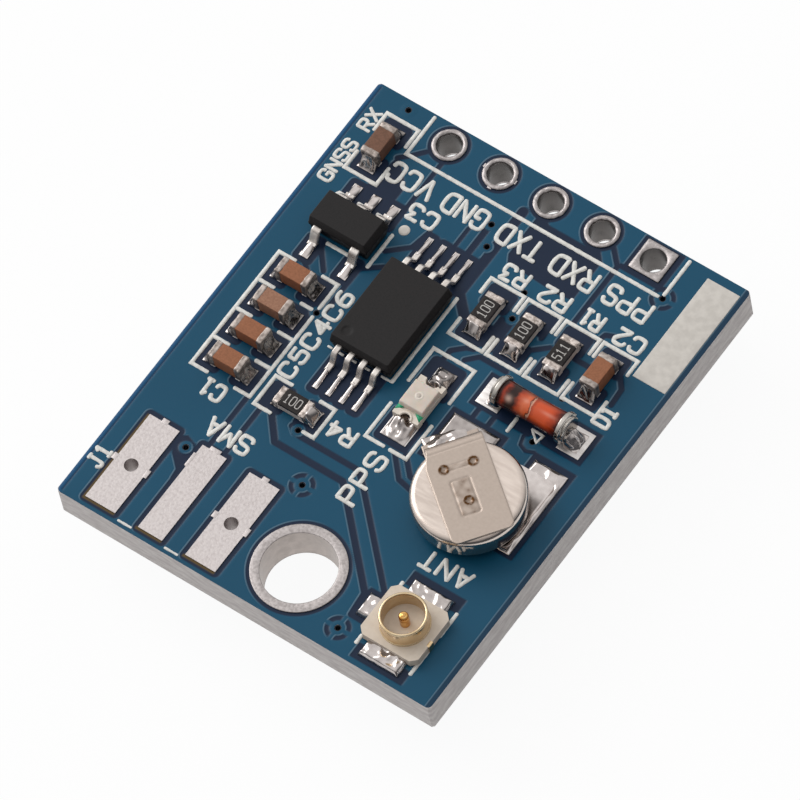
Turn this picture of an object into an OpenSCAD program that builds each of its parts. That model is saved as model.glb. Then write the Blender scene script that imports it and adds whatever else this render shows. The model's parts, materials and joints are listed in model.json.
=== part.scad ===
// Satellite positioning module: a two-sided circuit board with a header row, edge pads for a
// coaxial jack, a push-on aerial socket, a backup cell and a shielded receiver underneath.
// Frame: X along the header row, Y towards the header edge, Z out of the component side.
// The origin is under the middle of the board, on the plane where the receiver's shield rests.

/* [Board] */
// Board size along the header row
board_w = 18.5; // [17:0.1:30]
// Board size across the header row
board_l = 22.3; // [21:0.1:36]
// Board thickness
board_t = 1.6; // [0.8:0.1:2.4]
// Cut at the board corners
board_corner = 0.1; // [0.05:0.05:1]
// Thickness of copper lands and plating
land_t = 0.05; // [0.03:0.01:0.1]
// Width of a land beyond the side of its part
land_side = 0.06; // [0:0.02:0.2]

/* [Header row] */
// Header pitch
header_pitch = 2.54; // [2:0.01:2.6]
// Header row distance from the board edge
header_inset = 0.91; // [0.8:0.01:2]
// Header hole diameter
header_hole_d = 1.1; // [0.7:0.05:1.2]
// Header pad diameter, and side of the square pad
header_pad_d = 1.5; // [1.4:0.05:1.6]

/* [Mounting hole] */
// Mounting hole centre along X
mount_x = 1.16; // [-0.5:0.01:2]
// Mounting hole distance from the front edge
mount_inset = 2.34; // [2.1:0.01:3]
// Mounting hole diameter
mount_hole_d = 3.2; // [2.2:0.1:3.4]
// Plated ring diameter
mount_ring_d = 4; // [3.7:0.1:4.2]

/* [Edge pads] */
// Centre of the signal pad along X
edge_x = -4.83; // [-5.2:0.01:-4.6]
// Pitch from the signal pad to each ground pad
edge_pitch = 2.5; // [2.2:0.01:2.6]
// Pad length
edge_pad_l = 4.41; // [3:0.01:5]
// Ground pad width
edge_ground_w = 1.49; // [1:0.01:2]
// Signal pad width
edge_signal_w = 1.2; // [0.8:0.01:1.6]
// Pad distance from the front edge
edge_inset = 0.39; // [0.2:0.01:0.8]
// Diameter of the small hole in each ground pad
edge_hole_d = 0.6; // [0.3:0.05:0.8]
// Distance of the small holes from the front edge
edge_hole_inset = 2.51; // [1.5:0.01:3]

/* [Vias] */
// Via hole diameter
via_d = 0.3; // [0.2:0.02:0.36]
// Wall of the via lining
via_wall = 0.04; // [0.02:0.01:0.06]

/* [Chip parts] */
// Chip length
chip_l = 1.6; // [1.4:0.05:1.8]
// Chip width
chip_w = 0.8; // [0.6:0.05:1]
// Capacitor height
cap_h = 0.8; // [0.5:0.05:1]
// Resistor height
res_h = 0.45; // [0.35:0.05:0.6]
// Length of the end caps along the chip
chip_end = 0.3; // [0.2:0.05:0.4]
// Thickness of the end caps
chip_plate = 0.03; // [0.02:0.01:0.05]
// Rounding of the chip edges
chip_round = 0.07; // [0.04:0.01:0.1]
// Length of a chip land beyond the end cap
chip_toe = 0.4; // [0.3:0.05:0.6]
// Height of a capacitor's solder up its end cap
cap_solder = 0.5; // [0.3:0.05:0.6]
// Height of a resistor's solder up its end cap
res_solder = 0.32; // [0.2:0.02:0.34]

/* [Chip places] */
// Capacitor column along X
cap_col_x = -6.62; // [-6.7:0.01:-6.5]
// Lowest capacitor of the column along Y
cap_col_y = -2.8; // [-3:0.01:-2.6]
// Pitch of the capacitor column
cap_pitch = 1.53; // [1.3:0.01:1.6]
// Supply capacitor beside the header row along X
supply_cap_x = -7.34; // [-7.6:0.01:-7.1]
// Supply capacitor's middle, from the header edge
supply_cap_inset = 2.53; // [2.45:0.01:2.65]
// First chip of the row behind the lamp along X
chip_row_x = 0.8; // [0.6:0.01:1]
// Chip row along Y
chip_row_y = 4.62; // [4.5:0.01:5]
// Pitch of the chip row
chip_row_pitch = 1.865; // [1.6:0.005:2]
// Lone resistor along X
lone_res_x = -3.3; // [-3.5:0.01:-3.1]
// Lone resistor along Y
lone_res_y = -2.97; // [-3.4:0.01:-2.9]

/* [Memory] */
// Memory body along X
mem_w = 3; // [2.9:0.05:3.2]
// Memory body along Y
mem_l = 4.4; // [4:0.05:4.5]
// Memory body thickness
mem_t = 0.95; // [0.8:0.05:1.2]
// Gap under the memory body
mem_gap = 0.1; // [0.05:0.01:0.2]
// Span over the memory leads
mem_span = 6.4; // [6.2:0.05:6.5]
// Length of the straight shoulder of a memory lead
mem_shoulder = 0.34; // [0.1:0.01:0.4]
// Number of leads on each side
mem_n = 4; // [2:1:4]
// Lead pitch
mem_pitch = 0.65; // [0.6:0.01:0.7]
// Lead width
mem_lead_w = 0.26; // [0.2:0.01:0.34]
// Land width
mem_land_w = 0.38; // [0.36:0.01:0.45]
// Length of a memory land beyond the lead's toe
mem_toe = 0.9; // [0.4:0.05:0.95]
// Memory centre
mem_at = [-2.17, 2.24]; // [-2.2:0.01:2.3]

/* [Regulator] */
// Regulator body along X
reg_w = 2.9; // [2.8:0.05:3.1]
// Regulator body along Y
reg_l = 1.6; // [1.5:0.05:1.7]
// Regulator body thickness
reg_t = 1.05; // [0.8:0.05:1.2]
// Gap under the regulator body
reg_gap = 0.08; // [0.05:0.01:0.15]
// Span over the regulator leads
reg_span = 2.8; // [2.7:0.05:3]
// Length of the straight shoulder of a regulator lead
reg_shoulder = 0.04; // [0.02:0.01:0.1]
// Lead pitch
reg_pitch = 0.95; // [0.9:0.01:1]
// Lead width
reg_lead_w = 0.42; // [0.3:0.01:0.5]
// Land width
reg_land_w = 0.52; // [0.5:0.01:0.6]
// Length of a regulator land beyond the lead's toe
reg_toe = 0.58; // [0.3:0.01:0.6]
// Regulator centre
reg_at = [-6.15, 4.79]; // [-6.2:0.01:4.9]

/* [Moulded packages] */
// Lead thickness
lead_t = 0.14; // [0.1:0.01:0.18]
// Inner radius of the lead bends
lead_bend = 0.07; // [0.05:0.01:0.1]
// Draft of the moulded sides, from the parting line to each face
mould_draft = 0.08; // [0.04:0.01:0.12]
// Diameter of the mark at the first lead
mark_d = 0.5; // [0.3:0.05:0.7]
// Distance of the mark from the body sides
mark_inset = 0.55; // [0.45:0.05:0.8]
// Depth of the mark
mark_depth = 0.05; // [0.02:0.01:0.1]

/* [Lamp] */
// Lamp base length
lamp_l = 2; // [1.8:0.05:2.2]
// Lamp base width
lamp_w = 1.25; // [1.1:0.05:1.4]
// Lamp base thickness
lamp_base_t = 0.35; // [0.25:0.05:0.5]
// Lens length
lamp_lens_l = 1.4; // [1.2:0.05:1.5]
// Lens height over the base
lamp_lens_h = 0.25; // [0.15:0.05:0.5]
// Draft of the lens ends
lamp_draft = 0.08; // [0.04:0.01:0.12]
// Radius of the half-round notch in each end
lamp_notch_r = 0.32; // [0.2:0.02:0.4]
// Length of a lamp land beyond the end of the lamp
lamp_toe = 0.98; // [0.5:0.02:1.1]
// Lamp centre
lamp_at = [0.92, -0.16]; // [-0.2:0.01:1]

/* [Diode] */
// Diode length
diode_l = 3.6; // [3.4:0.05:3.7]
// Diameter of the end caps
diode_cap_d = 1.4; // [1.3:0.05:1.6]
// Length of the end caps
diode_cap_l = 0.35; // [0.3:0.05:0.6]
// Diameter of the glass
diode_glass_d = 1.16; // [1.1:0.02:1.26]
// Diameter of the slugs inside the glass
diode_slug_d = 0.86; // [0.7:0.02:1]
// Solder thickness under the end caps
diode_lift = 0.04; // [0.02:0.01:0.08]
// Land width
diode_land_w = 1.3; // [1.1:0.05:1.4]
// Length of a diode land beyond the end cap
diode_toe = 0.74; // [0.4:0.02:0.8]
// Rounding of the end caps' outer edges
diode_edge = 0.1; // [0.05:0.01:0.2]
// Gap between the slugs, where the junction sits
diode_gap = 0.1; // [0.05:0.01:0.3]
// Diameter of the junction
diode_die_d = 0.58; // [0.3:0.02:0.66]
// Height of the solder cradle under the end caps
diode_cradle = 0.45; // [0.3:0.01:0.6]
// Diode centre
diode_at = [5.24, 1.78]; // [1.7:0.01:5.3]

/* [Backup cell] */
// Cell diameter
cell_d = 4.8; // [4.2:0.1:5]
// Cell height with its cap
cell_h = 1.4; // [1.1:0.05:2]
// Rounding of the can's edges
cell_round = 0.3; // [0.1:0.01:0.4]
// Height of the cap under the can
cell_cap_h = 0.15; // [0.1:0.01:0.3]
// Diameter of the cap
cell_cap_d = 3.8; // [3.2:0.1:4]
// Width of the gasket around the cap
cell_gasket_w = 0.14; // [0.08:0.01:0.2]
// Height of the gasket under the can
cell_gasket_h = 0.08; // [0.04:0.01:0.09]
// Thickness of the tabs
tab_t = 0.12; // [0.08:0.01:0.2]
// Width of the top tab
tab_w = 2.64; // [2:0.02:2.8]
// Reach of the top tab past the cell centre, at its free end
tab_reach = 2.2; // [1.8:0.05:2.3]
// Clearance from the can to the down leg of the top tab
tab_clear = 0.05; // [0.03:0.01:0.15]
// Foot length of the top tab
tab_foot = 0.7; // [0.4:0.05:0.8]
// Corner radius of the top tab's free end
tab_end_r = 0.5; // [0.3:0.05:0.8]
// Direction of the top tab's foot, seen from above
tab_turn = 143; // [135:1:150]
// Cell centre
cell_at = [5.47, -2.93]; // [-3:0.01:5.6]
// Top tab's land, along X and Y
tab_land = [2.3, 2.3]; // [2:0.01:2.4]
// Top tab's land centre, from the cell centre
tab_land_off = [-2.02, 2.08]; // [-2.1:0.01:2.2]
// Bottom tab, along X and Y
low_tab = [2.9, 3.4]; // [2.6:0.01:3.5]
// Bottom tab centre, from the cell centre
low_tab_off = [0.83, 0.93]; // [0.8:0.01:1]
// Corner radius of the bottom tab
low_tab_r = 0.3; // [0.1:0.05:0.5]
// Bottom tab's land, along X and Y
low_land = [1.66, 4.16]; // [1.6:0.01:4.2]
// Bottom tab's land centre, from the cell centre
low_land_off = [1.66, 1.13]; // [1.1:0.01:1.7]

/* [Aerial socket] */
// Moulded body, along X and Y
coax_block = [2.84, 2.6]; // [2.5:0.02:2.86]
// Moulded body's centre along X, from the ring's
coax_block_off = -0.03; // [-0.05:0.01:0.05]
// Thickness of the moulded body
coax_body_t = 0.4; // [0.3:0.05:0.6]
// Corner cut of the moulded body
coax_corner = 0.26; // [0.1:0.02:0.5]
// Outer diameter of the ring
coax_ring_d = 2; // [1.8:0.05:2.2]
// Wall of the ring
coax_wall = 0.12; // [0.08:0.01:0.2]
// Height of the socket
coax_h = 1.25; // [1:0.05:1.5]
// Depth of the snap groove around the ring
coax_groove = 0.05; // [0.02:0.01:0.07]
// Height of the snap groove over the ring's strap
coax_groove_z = 0.65; // [0.55:0.01:0.75]
// Diameter of the centre pin
coax_pin_d = 0.42; // [0.3:0.02:0.6]
// Height of the centre pin
coax_pin_h = 1.15; // [0.8:0.05:1.2]
// Thickness of the metal feet
coax_foot_t = 0.12; // [0.08:0.01:0.2]
// Width of the ground feet
coax_foot_w = 1.8; // [1.6:0.05:2]
// Span over the ground feet
coax_span = 3.1; // [2.9:0.05:3.3]
// Width of the signal foot
coax_tail_w = 0.5; // [0.4:0.02:0.7]
// Reach of the signal foot from the socket centre
coax_tail = 1.7; // [1.5:0.05:1.9]
// Ground land, along X and Y
coax_ground = [2.04, 1.02]; // [0.9:0.01:2.2]
// Signal land, along X and Y
coax_signal = [0.86, 1.15]; // [0.8:0.01:1.3]
// Distance of the ground lands from the socket centre
coax_ground_off = 1.51; // [1.5:0.01:1.7]
// Distance of the signal land from the socket centre
coax_signal_off = 1.71; // [1.7:0.01:1.9]
// Socket centre along X
coax_x = 6.38; // [6:0.01:6.8]
// Socket distance from the front edge
coax_inset = 2.45; // [2.2:0.01:3]

/* [Receiver] */
// Receiver along X
rx_l = 16; // [15.5:0.1:16.6]
// Receiver along Y
rx_w = 12.2; // [11:0.1:12.6]
// Receiver height
rx_h = 2.4; // [2:0.1:3]
// Substrate thickness
rx_base_t = 0.8; // [0.6:0.05:1]
// Margin of the substrate around the shield
rx_margin = 0.35; // [0.25:0.05:0.6]
// Corner radius of the shield
rx_round = 0.6; // [0.3:0.05:1]
// Edge rounding of the shield
rx_edge = 0.2; // [0.1:0.05:0.3]
// Receiver centre along Y
rx_y = 1.2; // [0.9:0.05:1.5]
// Pads in the first and second run on each long side
rx_runs = [7, 5]; // [3:1:7]
// Pad pitch
rx_pitch = 1.1; // [1:0.01:1.12]
// Gap from the last pad of the first run to the first pad of the second
rx_run_gap = 3; // [2:0.05:3.2]
// Pad width
rx_pad_w = 0.8; // [0.6:0.02:0.9]
// Radius of the half-round notch in each pad
rx_notch_r = 0.25; // [0.15:0.01:0.3]
// Plating in the half-round notch
rx_plate = 0.06; // [0.03:0.01:0.08]
// Length of a pad under the substrate
rx_pad_in = 0.9; // [0.6:0.05:1]
// Length of a receiver land beyond the substrate
rx_toe = 0.5; // [0.3:0.05:0.55]
// Height of the solder up the notch
rx_solder = 0.45; // [0.3:0.05:0.5]

/* [Hidden] */
$fn = 48;
// A cut runs this far past the faces that it opens
past = 0.5;
// Flat lip at the thin edges of a solder fillet
lip = 0.03;

board_z = rx_h + land_t;
top_z = board_z + board_t;
seat_z = top_z + land_t;
front_y = -board_l / 2;
header_y = board_l / 2 - header_inset;
header_names = ["vcc", "gnd", "txd", "rxd", "pps"];
header_n = len(header_names);
mount_at = [mount_x, front_y + mount_inset];
edge_y = front_y + edge_inset + edge_pad_l / 2;
edge_names = ["ground_left", "signal", "ground_right"];
edge_hole_y = front_y + edge_hole_inset;
coax_at = [coax_x, front_y + coax_inset];

// Place and turn of each numbered chip
cap_places = [
    [cap_col_x, cap_col_y, 0],
    [chip_row_x + 3 * chip_row_pitch, chip_row_y, 90],
    [supply_cap_x, board_l / 2 - supply_cap_inset, 90],
    [cap_col_x, cap_col_y + 2 * cap_pitch, 0],
    [cap_col_x, cap_col_y + cap_pitch, 0],
    [cap_col_x, cap_col_y + 3 * cap_pitch, 0]
];
res_places = [
    [chip_row_x + 2 * chip_row_pitch, chip_row_y, 90],
    [chip_row_x + chip_row_pitch, chip_row_y, 90],
    [chip_row_x, chip_row_y, 90],
    [lone_res_x, lone_res_y, 0]
];
cap_n = len(cap_places);
res_n = len(res_places);

// Vias, clear of every land, the outer ones at their distance from the edges
via_places = [
    [-7.47, board_l / 2 - 0.45], [-1.03, 7.19], [-1.47, 8.13], [1.78, 5.02], [1.5, 6.25],
    [6.4, header_y - 1.24], [5.63, 3.1], [5.75, 0.85], [-5.1, 1.02], [-2.56, -3.75],
    [-5.95, -6.8], [-0.95, -5.69], [4.05, front_y + 1]
];

diode_axis_z = seat_z + diode_lift + diode_cap_d / 2;
diode_glass_l = diode_l - 2 * diode_cap_l;
cell_z = seat_z + tab_t;
can_z = cell_z + cell_cap_h;
can_top_z = cell_z + cell_h;
tab_drop = cell_d / 2 + tab_clear;
rx_run_l = (rx_runs[0] + rx_runs[1] - 2) * rx_pitch + rx_run_gap;
rx_pad_xs = [
    for (i = [0 : rx_runs[0] - 1]) i * rx_pitch - rx_run_l / 2,
    for (i = [0 : rx_runs[1] - 1]) rx_run_l / 2 - i * rx_pitch
];
// The substrate lies against the underside lands, and the shield hangs below it
rx_base_z = rx_h - rx_base_t;

// Shapes that several parts share

// Rectangle with rounded corners about the origin
module round_rect(size, r) {
    square([size.x - 2 * r, size.y], center = true);
    square([size.x, size.y - 2 * r], center = true);
    for (x = [-1, 1], y = [-1, 1])
        translate([x * (size.x / 2 - r), y * (size.y / 2 - r)]) circle(r = r);
}

// Rectangle with cut corners about the origin
module cut_rect(size, cut) {
    x = size.x / 2;
    y = size.y / 2;
    polygon([
        [x - cut, -y], [x, cut - y], [x, y - cut], [x - cut, y],
        [cut - x, y], [-x, y - cut], [-x, cut - y], [cut - x, -y]
    ]);
}

// Prism along X of a child drawn across it, with the child's Y up
module along_x(length) {
    rotate([90, 0, 90]) linear_extrude(length, center = true) children();
}

// Box standing on z = 0 with every edge rounded: three rounded prisms crossed
module soft_box(size, r) {
    translate([0, 0, size.z / 2]) intersection() {
        linear_extrude(size.z, center = true) round_rect([size.x, size.y], r);
        along_x(size.x) round_rect([size.y, size.z], r);
        rotate([90, 0, 0]) linear_extrude(size.y, center = true) round_rect([size.x, size.z], r);
    }
}

// Flat land about the origin
module land(size) {
    linear_extrude(land_t) square(size, center = true);
}

// Both ends of a part that lies along X
module both_ends() {
    for (side = [0, 180]) rotate(side) children();
}

// Concave solder ramp: it rises by height against a face at x = 0 and runs out by length
module ramp_profile(length, height) {
    from = [length, lip];
    to = [lip, height];
    chord = norm(to - from);
    radius = 1.1 * chord;
    normal = [to.y - from.y, from.x - to.x] / chord;
    centre = (from + to) / 2 + normal * sqrt(radius * radius - chord * chord / 4);
    difference() {
        square([length, height]);
        translate(centre) circle(r = radius);
    }
}

// Solder ramp of a given width, against the face x = 0
module ramp(length, height, width) {
    rotate([90, 0, 0]) linear_extrude(width, center = true) ramp_profile(length, height);
}

// Moulded package body: two drafted halves that meet at the parting line
module moulded_body(w, l, t) {
    slice = 0.01;
    hull() {
        translate([0, 0, slice / 2]) cube([w - 2 * mould_draft, l - 2 * mould_draft, slice], center = true);
        translate([0, 0, t / 2]) cube([w, l, lead_t], center = true);
        translate([0, 0, t - slice / 2])
            cube([w - 2 * mould_draft, l - 2 * mould_draft, slice], center = true);
    }
}

// Gull-wing lead in the XZ plane, from the body side at x = 0 to its toe at x = reach.
// The shoulder leaves the body at height exit, the leg drops behind it and the foot stands on z = 0.
module gull_lead(reach, shoulder, exit, width) {
    leg_x = shoulder + lead_bend;
    foot_x = leg_x + lead_t + lead_bend;
    turn_r = lead_bend + lead_t;
    top = exit + lead_t / 2;
    rotate([90, 0, 0]) linear_extrude(width, center = true) {
        translate([0, top - lead_t]) square([shoulder, lead_t]);
        translate([shoulder, top - turn_r]) quarter_bend(lead_bend, lead_t, 0);
        translate([leg_x, turn_r]) square([lead_t, top - 2 * turn_r]);
        translate([foot_x, turn_r]) quarter_bend(lead_bend, lead_t, 180);
        translate([foot_x, 0]) square([reach - foot_x, lead_t]);
    }
}

// Quarter ring of bent strip, with inner radius r and thickness t, in the quadrant at the given turn
module quarter_bend(r, t, turn) {
    rotate(turn) intersection() {
        difference() {
            circle(r = r + t);
            circle(r = r);
        }
        square(r + t);
    }
}

// Plated hole: a ring on each face and the lining between them
module plated_hole(hole_d) {
    difference() {
        union() {
            translate([0, 0, top_z]) linear_extrude(land_t) children();
            translate([0, 0, board_z]) cylinder(h = board_t, d = hole_d + 2 * land_t);
            translate([0, 0, board_z - land_t]) linear_extrude(land_t) children();
        }
        translate([0, 0, board_z - land_t - past])
            cylinder(h = board_t + 2 * land_t + 2 * past, d = hole_d);
    }
}

// Drill for a plated hole
module drill(hole_d) {
    translate([0, 0, board_z - past]) cylinder(h = board_t + 2 * past, d = hole_d + 2 * land_t);
}

// Moves its children to a chip's place, on top of the lands
module at_chip(place) {
    translate([place.x, place.y, seat_z]) rotate(place.z) children();
}

// Lands of a two-ended part that lies along X: each runs from inner to outer on its side
module land_pair(inner, outer, width) {
    both_ends() translate([(inner + outer) / 2, 0, -land_t]) land([outer - inner, width]);
}

// Board and plating

module printed_board() {
    color("#1f5a80") difference() {
        translate([0, 0, board_z]) linear_extrude(board_t) cut_rect([board_w, board_l], board_corner);
        for (i = [0 : header_n - 1]) at_header(i) drill(header_hole_d);
        translate(mount_at) drill(mount_hole_d);
        for (side = [-1, 1]) translate([edge_x + side * edge_pitch, edge_hole_y]) drill(edge_hole_d);
        for (place = via_places) translate([place.x, place.y, board_z - past])
            cylinder(h = board_t + 2 * past, d = via_d);
    }
}

module at_header(i) {
    translate([(i - (header_n - 1) / 2) * header_pitch, header_y]) children();
}

module mounting_ring() {
    color("#cfc8c4") translate(mount_at) plated_hole(mount_hole_d) circle(d = mount_ring_d);
}

// The last pad of the row is square
module header_pad(i) {
    color("#d8d5d0") at_header(i) plated_hole(header_hole_d) {
        if (i == header_n - 1) square(header_pad_d, center = true);
        else circle(d = header_pad_d);
    }
}

// Edge pads lie on both faces, and the ground pads have a plated hole
module edge_pad(i) {
    side = i - 1;
    pad_x = edge_x + side * edge_pitch;
    color("#cfc8c4") if (side == 0) {
        for (z = [board_z - land_t, top_z])
            translate([pad_x, edge_y, z]) land([edge_signal_w, edge_pad_l]);
    } else {
        translate([pad_x, edge_hole_y]) plated_hole(edge_hole_d)
            translate([0, edge_y - edge_hole_y]) square([edge_ground_w, edge_pad_l], center = true);
    }
}

// Linings of the small holes that join the two copper faces, flush with the board
module vias() {
    color("#8d7a5c") for (place = via_places) translate([place.x, place.y, board_z]) difference() {
        cylinder(h = board_t, d = via_d);
        translate([0, 0, -past]) cylinder(h = board_t + 2 * past, d = via_d - 2 * via_wall);
    }
}

module solder_lands() {
    chip_inner = chip_l / 2 - chip_end;
    chip_outer = chip_l / 2 + chip_toe;
    mem_outer = mem_span / 2 + mem_toe;
    reg_outer = reg_span / 2 + reg_toe;
    color("#c9c2bc") {
        for (place = concat(cap_places, res_places))
            at_chip(place) land_pair(chip_inner, chip_outer, chip_w + 2 * land_side);
        at_lamp() land_pair(lamp_l / 2 - lamp_notch_r, lamp_l / 2 + lamp_toe, lamp_w);
        at_diode() land_pair(diode_l / 2 - diode_cap_l, diode_l / 2 + diode_toe, diode_land_w);
        at_memory() for_leads(mem_pitch, [mem_n, mem_n])
            lead_land(mem_l / 2 + mem_shoulder, mem_outer, mem_land_w);
        at_regulator() for_leads(reg_pitch, [3, 2])
            lead_land(reg_l / 2 + reg_shoulder, reg_outer, reg_land_w);
        at_cell() translate(tab_land_off) land(tab_land);
        at_cell() translate(low_land_off) land(low_land);
        at_coax() for (side = [-1, 1]) translate([0, side * coax_ground_off]) land(coax_ground);
        at_coax() translate([-coax_signal_off, 0]) land(coax_signal);
    }
}

// Land of one lead along X, from inner to outer, with its top at z = 0
module lead_land(inner, outer, width) {
    translate([(inner + outer) / 2, 0, -land_t]) land([outer - inner, width]);
}

module solder_fillets() {
    color("#d9d9d6") {
        for (place = cap_places)
            at_chip(place) chip_solder(cap_solder);
        for (place = res_places)
            at_chip(place) chip_solder(res_solder);
        at_lamp() both_ends() translate([lamp_l / 2, 0]) ramp(lamp_toe, lamp_base_t, lamp_w);
        at_diode() both_ends() diode_solder();
        at_memory() for_leads(mem_pitch, [mem_n, mem_n])
            lead_solder(mem_span / 2, mem_toe, mem_lead_w);
        at_regulator() for_leads(reg_pitch, [3, 2])
            lead_solder(reg_span / 2, reg_toe, reg_lead_w);
        at_coax() for (side = [90, 270]) rotate(side)
            translate([coax_span / 2, 0, land_t]) ramp(coax_ground_land_out(), coax_foot_t, coax_foot_w);
        at_coax() rotate(180)
            translate([coax_tail, 0, land_t]) ramp(coax_signal_land_out(), coax_foot_t, coax_tail_w);
    }
}

// Length of a socket land beyond the end of its foot
function coax_ground_land_out() = coax_ground_off + coax_ground.y / 2 - coax_span / 2;
function coax_signal_land_out() = coax_signal_off + coax_signal.x / 2 - coax_tail;

module chip_solder(height) {
    both_ends() translate([chip_l / 2, 0]) ramp(chip_toe, height, chip_w);
}

// Solder in front of a lead's toe at x = toe_x
module lead_solder(toe_x, length, width) {
    translate([toe_x, 0]) ramp(length, lead_t, width);
}

// Solder of a round end cap: a cradle under it and a ramp on its end
module diode_solder() {
    translate([diode_l / 2 - diode_cap_l / 2, 0]) difference() {
        along_x(diode_cap_l)
            translate([0, diode_cradle / 2]) square([diode_land_w, diode_cradle], center = true);
        along_x(diode_cap_l + 2 * past)
            translate([0, diode_lift + diode_cap_d / 2]) circle(d = diode_cap_d);
    }
    translate([diode_l / 2, 0]) ramp(diode_toe, diode_cap_d / 2, diode_land_w);
}

// Chip capacitors

module capacitor(i) {
    color("#8f5a3c") at_chip(cap_places[i]) chip_core(cap_h);
}

// Ceramic inside the end caps
module chip_core(h) {
    translate([0, 0, h / 2]) along_x(chip_l - 2 * chip_plate)
        round_rect([chip_w - 2 * chip_plate, h - 2 * chip_plate], chip_round);
}

module capacitor_ends(i) {
    color("#c7c3bd") at_chip(cap_places[i]) difference() {
        soft_box([chip_l, chip_w, cap_h], chip_round);
        cube([chip_l - 2 * chip_end, chip_w + past, 3 * cap_h], center = true);
        chip_core(cap_h);
    }
}

// Chip resistors: a ceramic tile, a dark coat on it and end caps round its ends

module resistor(i) {
    color("#d6cfc4") at_chip(res_places[i]) resistor_tile();
}

module resistor_tile() {
    translate([-chip_l / 2 + chip_plate, -chip_w / 2, chip_plate])
        cube([chip_l - 2 * chip_plate, chip_w, res_h - 2 * chip_plate]);
}

module resistor_film(i) {
    color("#2a2523") at_chip(res_places[i]) translate([0, 0, res_h - chip_plate])
        linear_extrude(chip_plate) square([chip_l - 2 * chip_end, chip_w], center = true);
}

module resistor_ends(i) {
    color("#c7c3bd") at_chip(res_places[i]) difference() {
        rotate([90, 0, 0]) linear_extrude(chip_w, center = true)
            translate([0, res_h / 2]) round_rect([chip_l, res_h], chip_plate);
        cube([chip_l - 2 * chip_end, chip_w + past, 3 * res_h], center = true);
        resistor_tile();
    }
}

// Lamp, lying along Y

module at_lamp() {
    translate([lamp_at.x, lamp_at.y, seat_z]) rotate(90) children();
}

module lamp_outline() {
    difference() {
        square([lamp_l, lamp_w], center = true);
        both_ends() translate([lamp_l / 2, 0]) circle(r = lamp_notch_r);
    }
}

module led_base() {
    color("#e4dfd0") at_lamp() translate([0, 0, land_t]) linear_extrude(lamp_base_t - 2 * land_t)
        lamp_outline();
}

// Plated faces of the lamp's ends, under and over the base
module led_ends() {
    end_l = (lamp_l - lamp_lens_l) / 2;
    color("#d8c9a0") at_lamp() both_ends() for (z = [0, lamp_base_t - land_t])
        translate([0, 0, z]) linear_extrude(land_t) intersection() {
            lamp_outline();
            translate([lamp_l / 2 - end_l, -lamp_w / 2]) square([end_l, lamp_w]);
        }
}

module led_lens() {
    color("#cfc8b8") at_lamp() translate([0, 0, lamp_base_t - land_t])
        rotate([90, 0, 0]) linear_extrude(lamp_w, center = true) polygon([
            [-lamp_lens_l / 2, 0], [lamp_lens_l / 2, 0],
            [lamp_lens_l / 2, land_t],
            [lamp_lens_l / 2 - lamp_draft, land_t + lamp_lens_h],
            [lamp_draft - lamp_lens_l / 2, land_t + lamp_lens_h],
            [-lamp_lens_l / 2, land_t]
        ]);
}

// Glass diode, lying along X

module at_diode() {
    translate([diode_at.x, diode_at.y, seat_z]) children();
}

module at_diode_axis() {
    translate([diode_at.x, diode_at.y, diode_axis_z]) rotate([0, 90, 0]) children();
}

module diode_glass() {
    color("#b8401f", 0.5) at_diode_axis() difference() {
        cylinder(h = diode_glass_l, d = diode_glass_d, center = true);
        cylinder(h = diode_glass_l + past, d = diode_slug_d, center = true);
    }
}

module diode_caps() {
    color("#c9c6c2") at_diode_axis() for (side = [0, 1]) mirror([0, 0, side])
        translate([0, 0, diode_glass_l / 2]) rotate_extrude() {
            square([diode_cap_d / 2 - diode_edge, diode_cap_l]);
            square([diode_cap_d / 2, diode_cap_l - diode_edge]);
            translate([diode_cap_d / 2 - diode_edge, diode_cap_l - diode_edge]) intersection() {
                circle(r = diode_edge);
                square(diode_edge);
            }
        }
}

// Two leads that meet at the junction in the middle
module diode_slugs() {
    slug_l = (diode_glass_l - diode_gap) / 2;
    color("#c2542c") at_diode_axis() {
        for (side = [0, 1]) mirror([0, 0, side])
            translate([0, 0, diode_gap / 2]) cylinder(h = slug_l, d = diode_slug_d);
        cylinder(h = diode_gap, d = diode_die_d, center = true);
    }
}

// Backup cell

module at_cell() {
    translate([cell_at.x, cell_at.y, top_z]) children();
}

module cell_can() {
    can_h = cell_h - cell_cap_h;
    color("#c9beb4") translate([cell_at.x, cell_at.y, can_z]) rotate_extrude() {
        square([cell_d / 2 - cell_round, can_h]);
        translate([0, cell_round]) square([cell_d / 2, can_h - 2 * cell_round]);
        for (y = [cell_round, can_h - cell_round])
            translate([cell_d / 2 - cell_round, y]) circle(r = cell_round);
    }
}

module cell_gasket() {
    color("#8d8a84") translate([cell_at.x, cell_at.y, can_z - cell_gasket_h]) difference() {
        cylinder(h = cell_gasket_h, d = cell_cap_d + 2 * cell_gasket_w);
        translate([0, 0, -past]) cylinder(h = cell_gasket_h + 2 * past, d = cell_cap_d);
    }
}

module cell_cap() {
    color("#bdb3aa") translate([cell_at.x, cell_at.y, cell_z]) cylinder(h = cell_cap_h, d = cell_cap_d);
}

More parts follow.
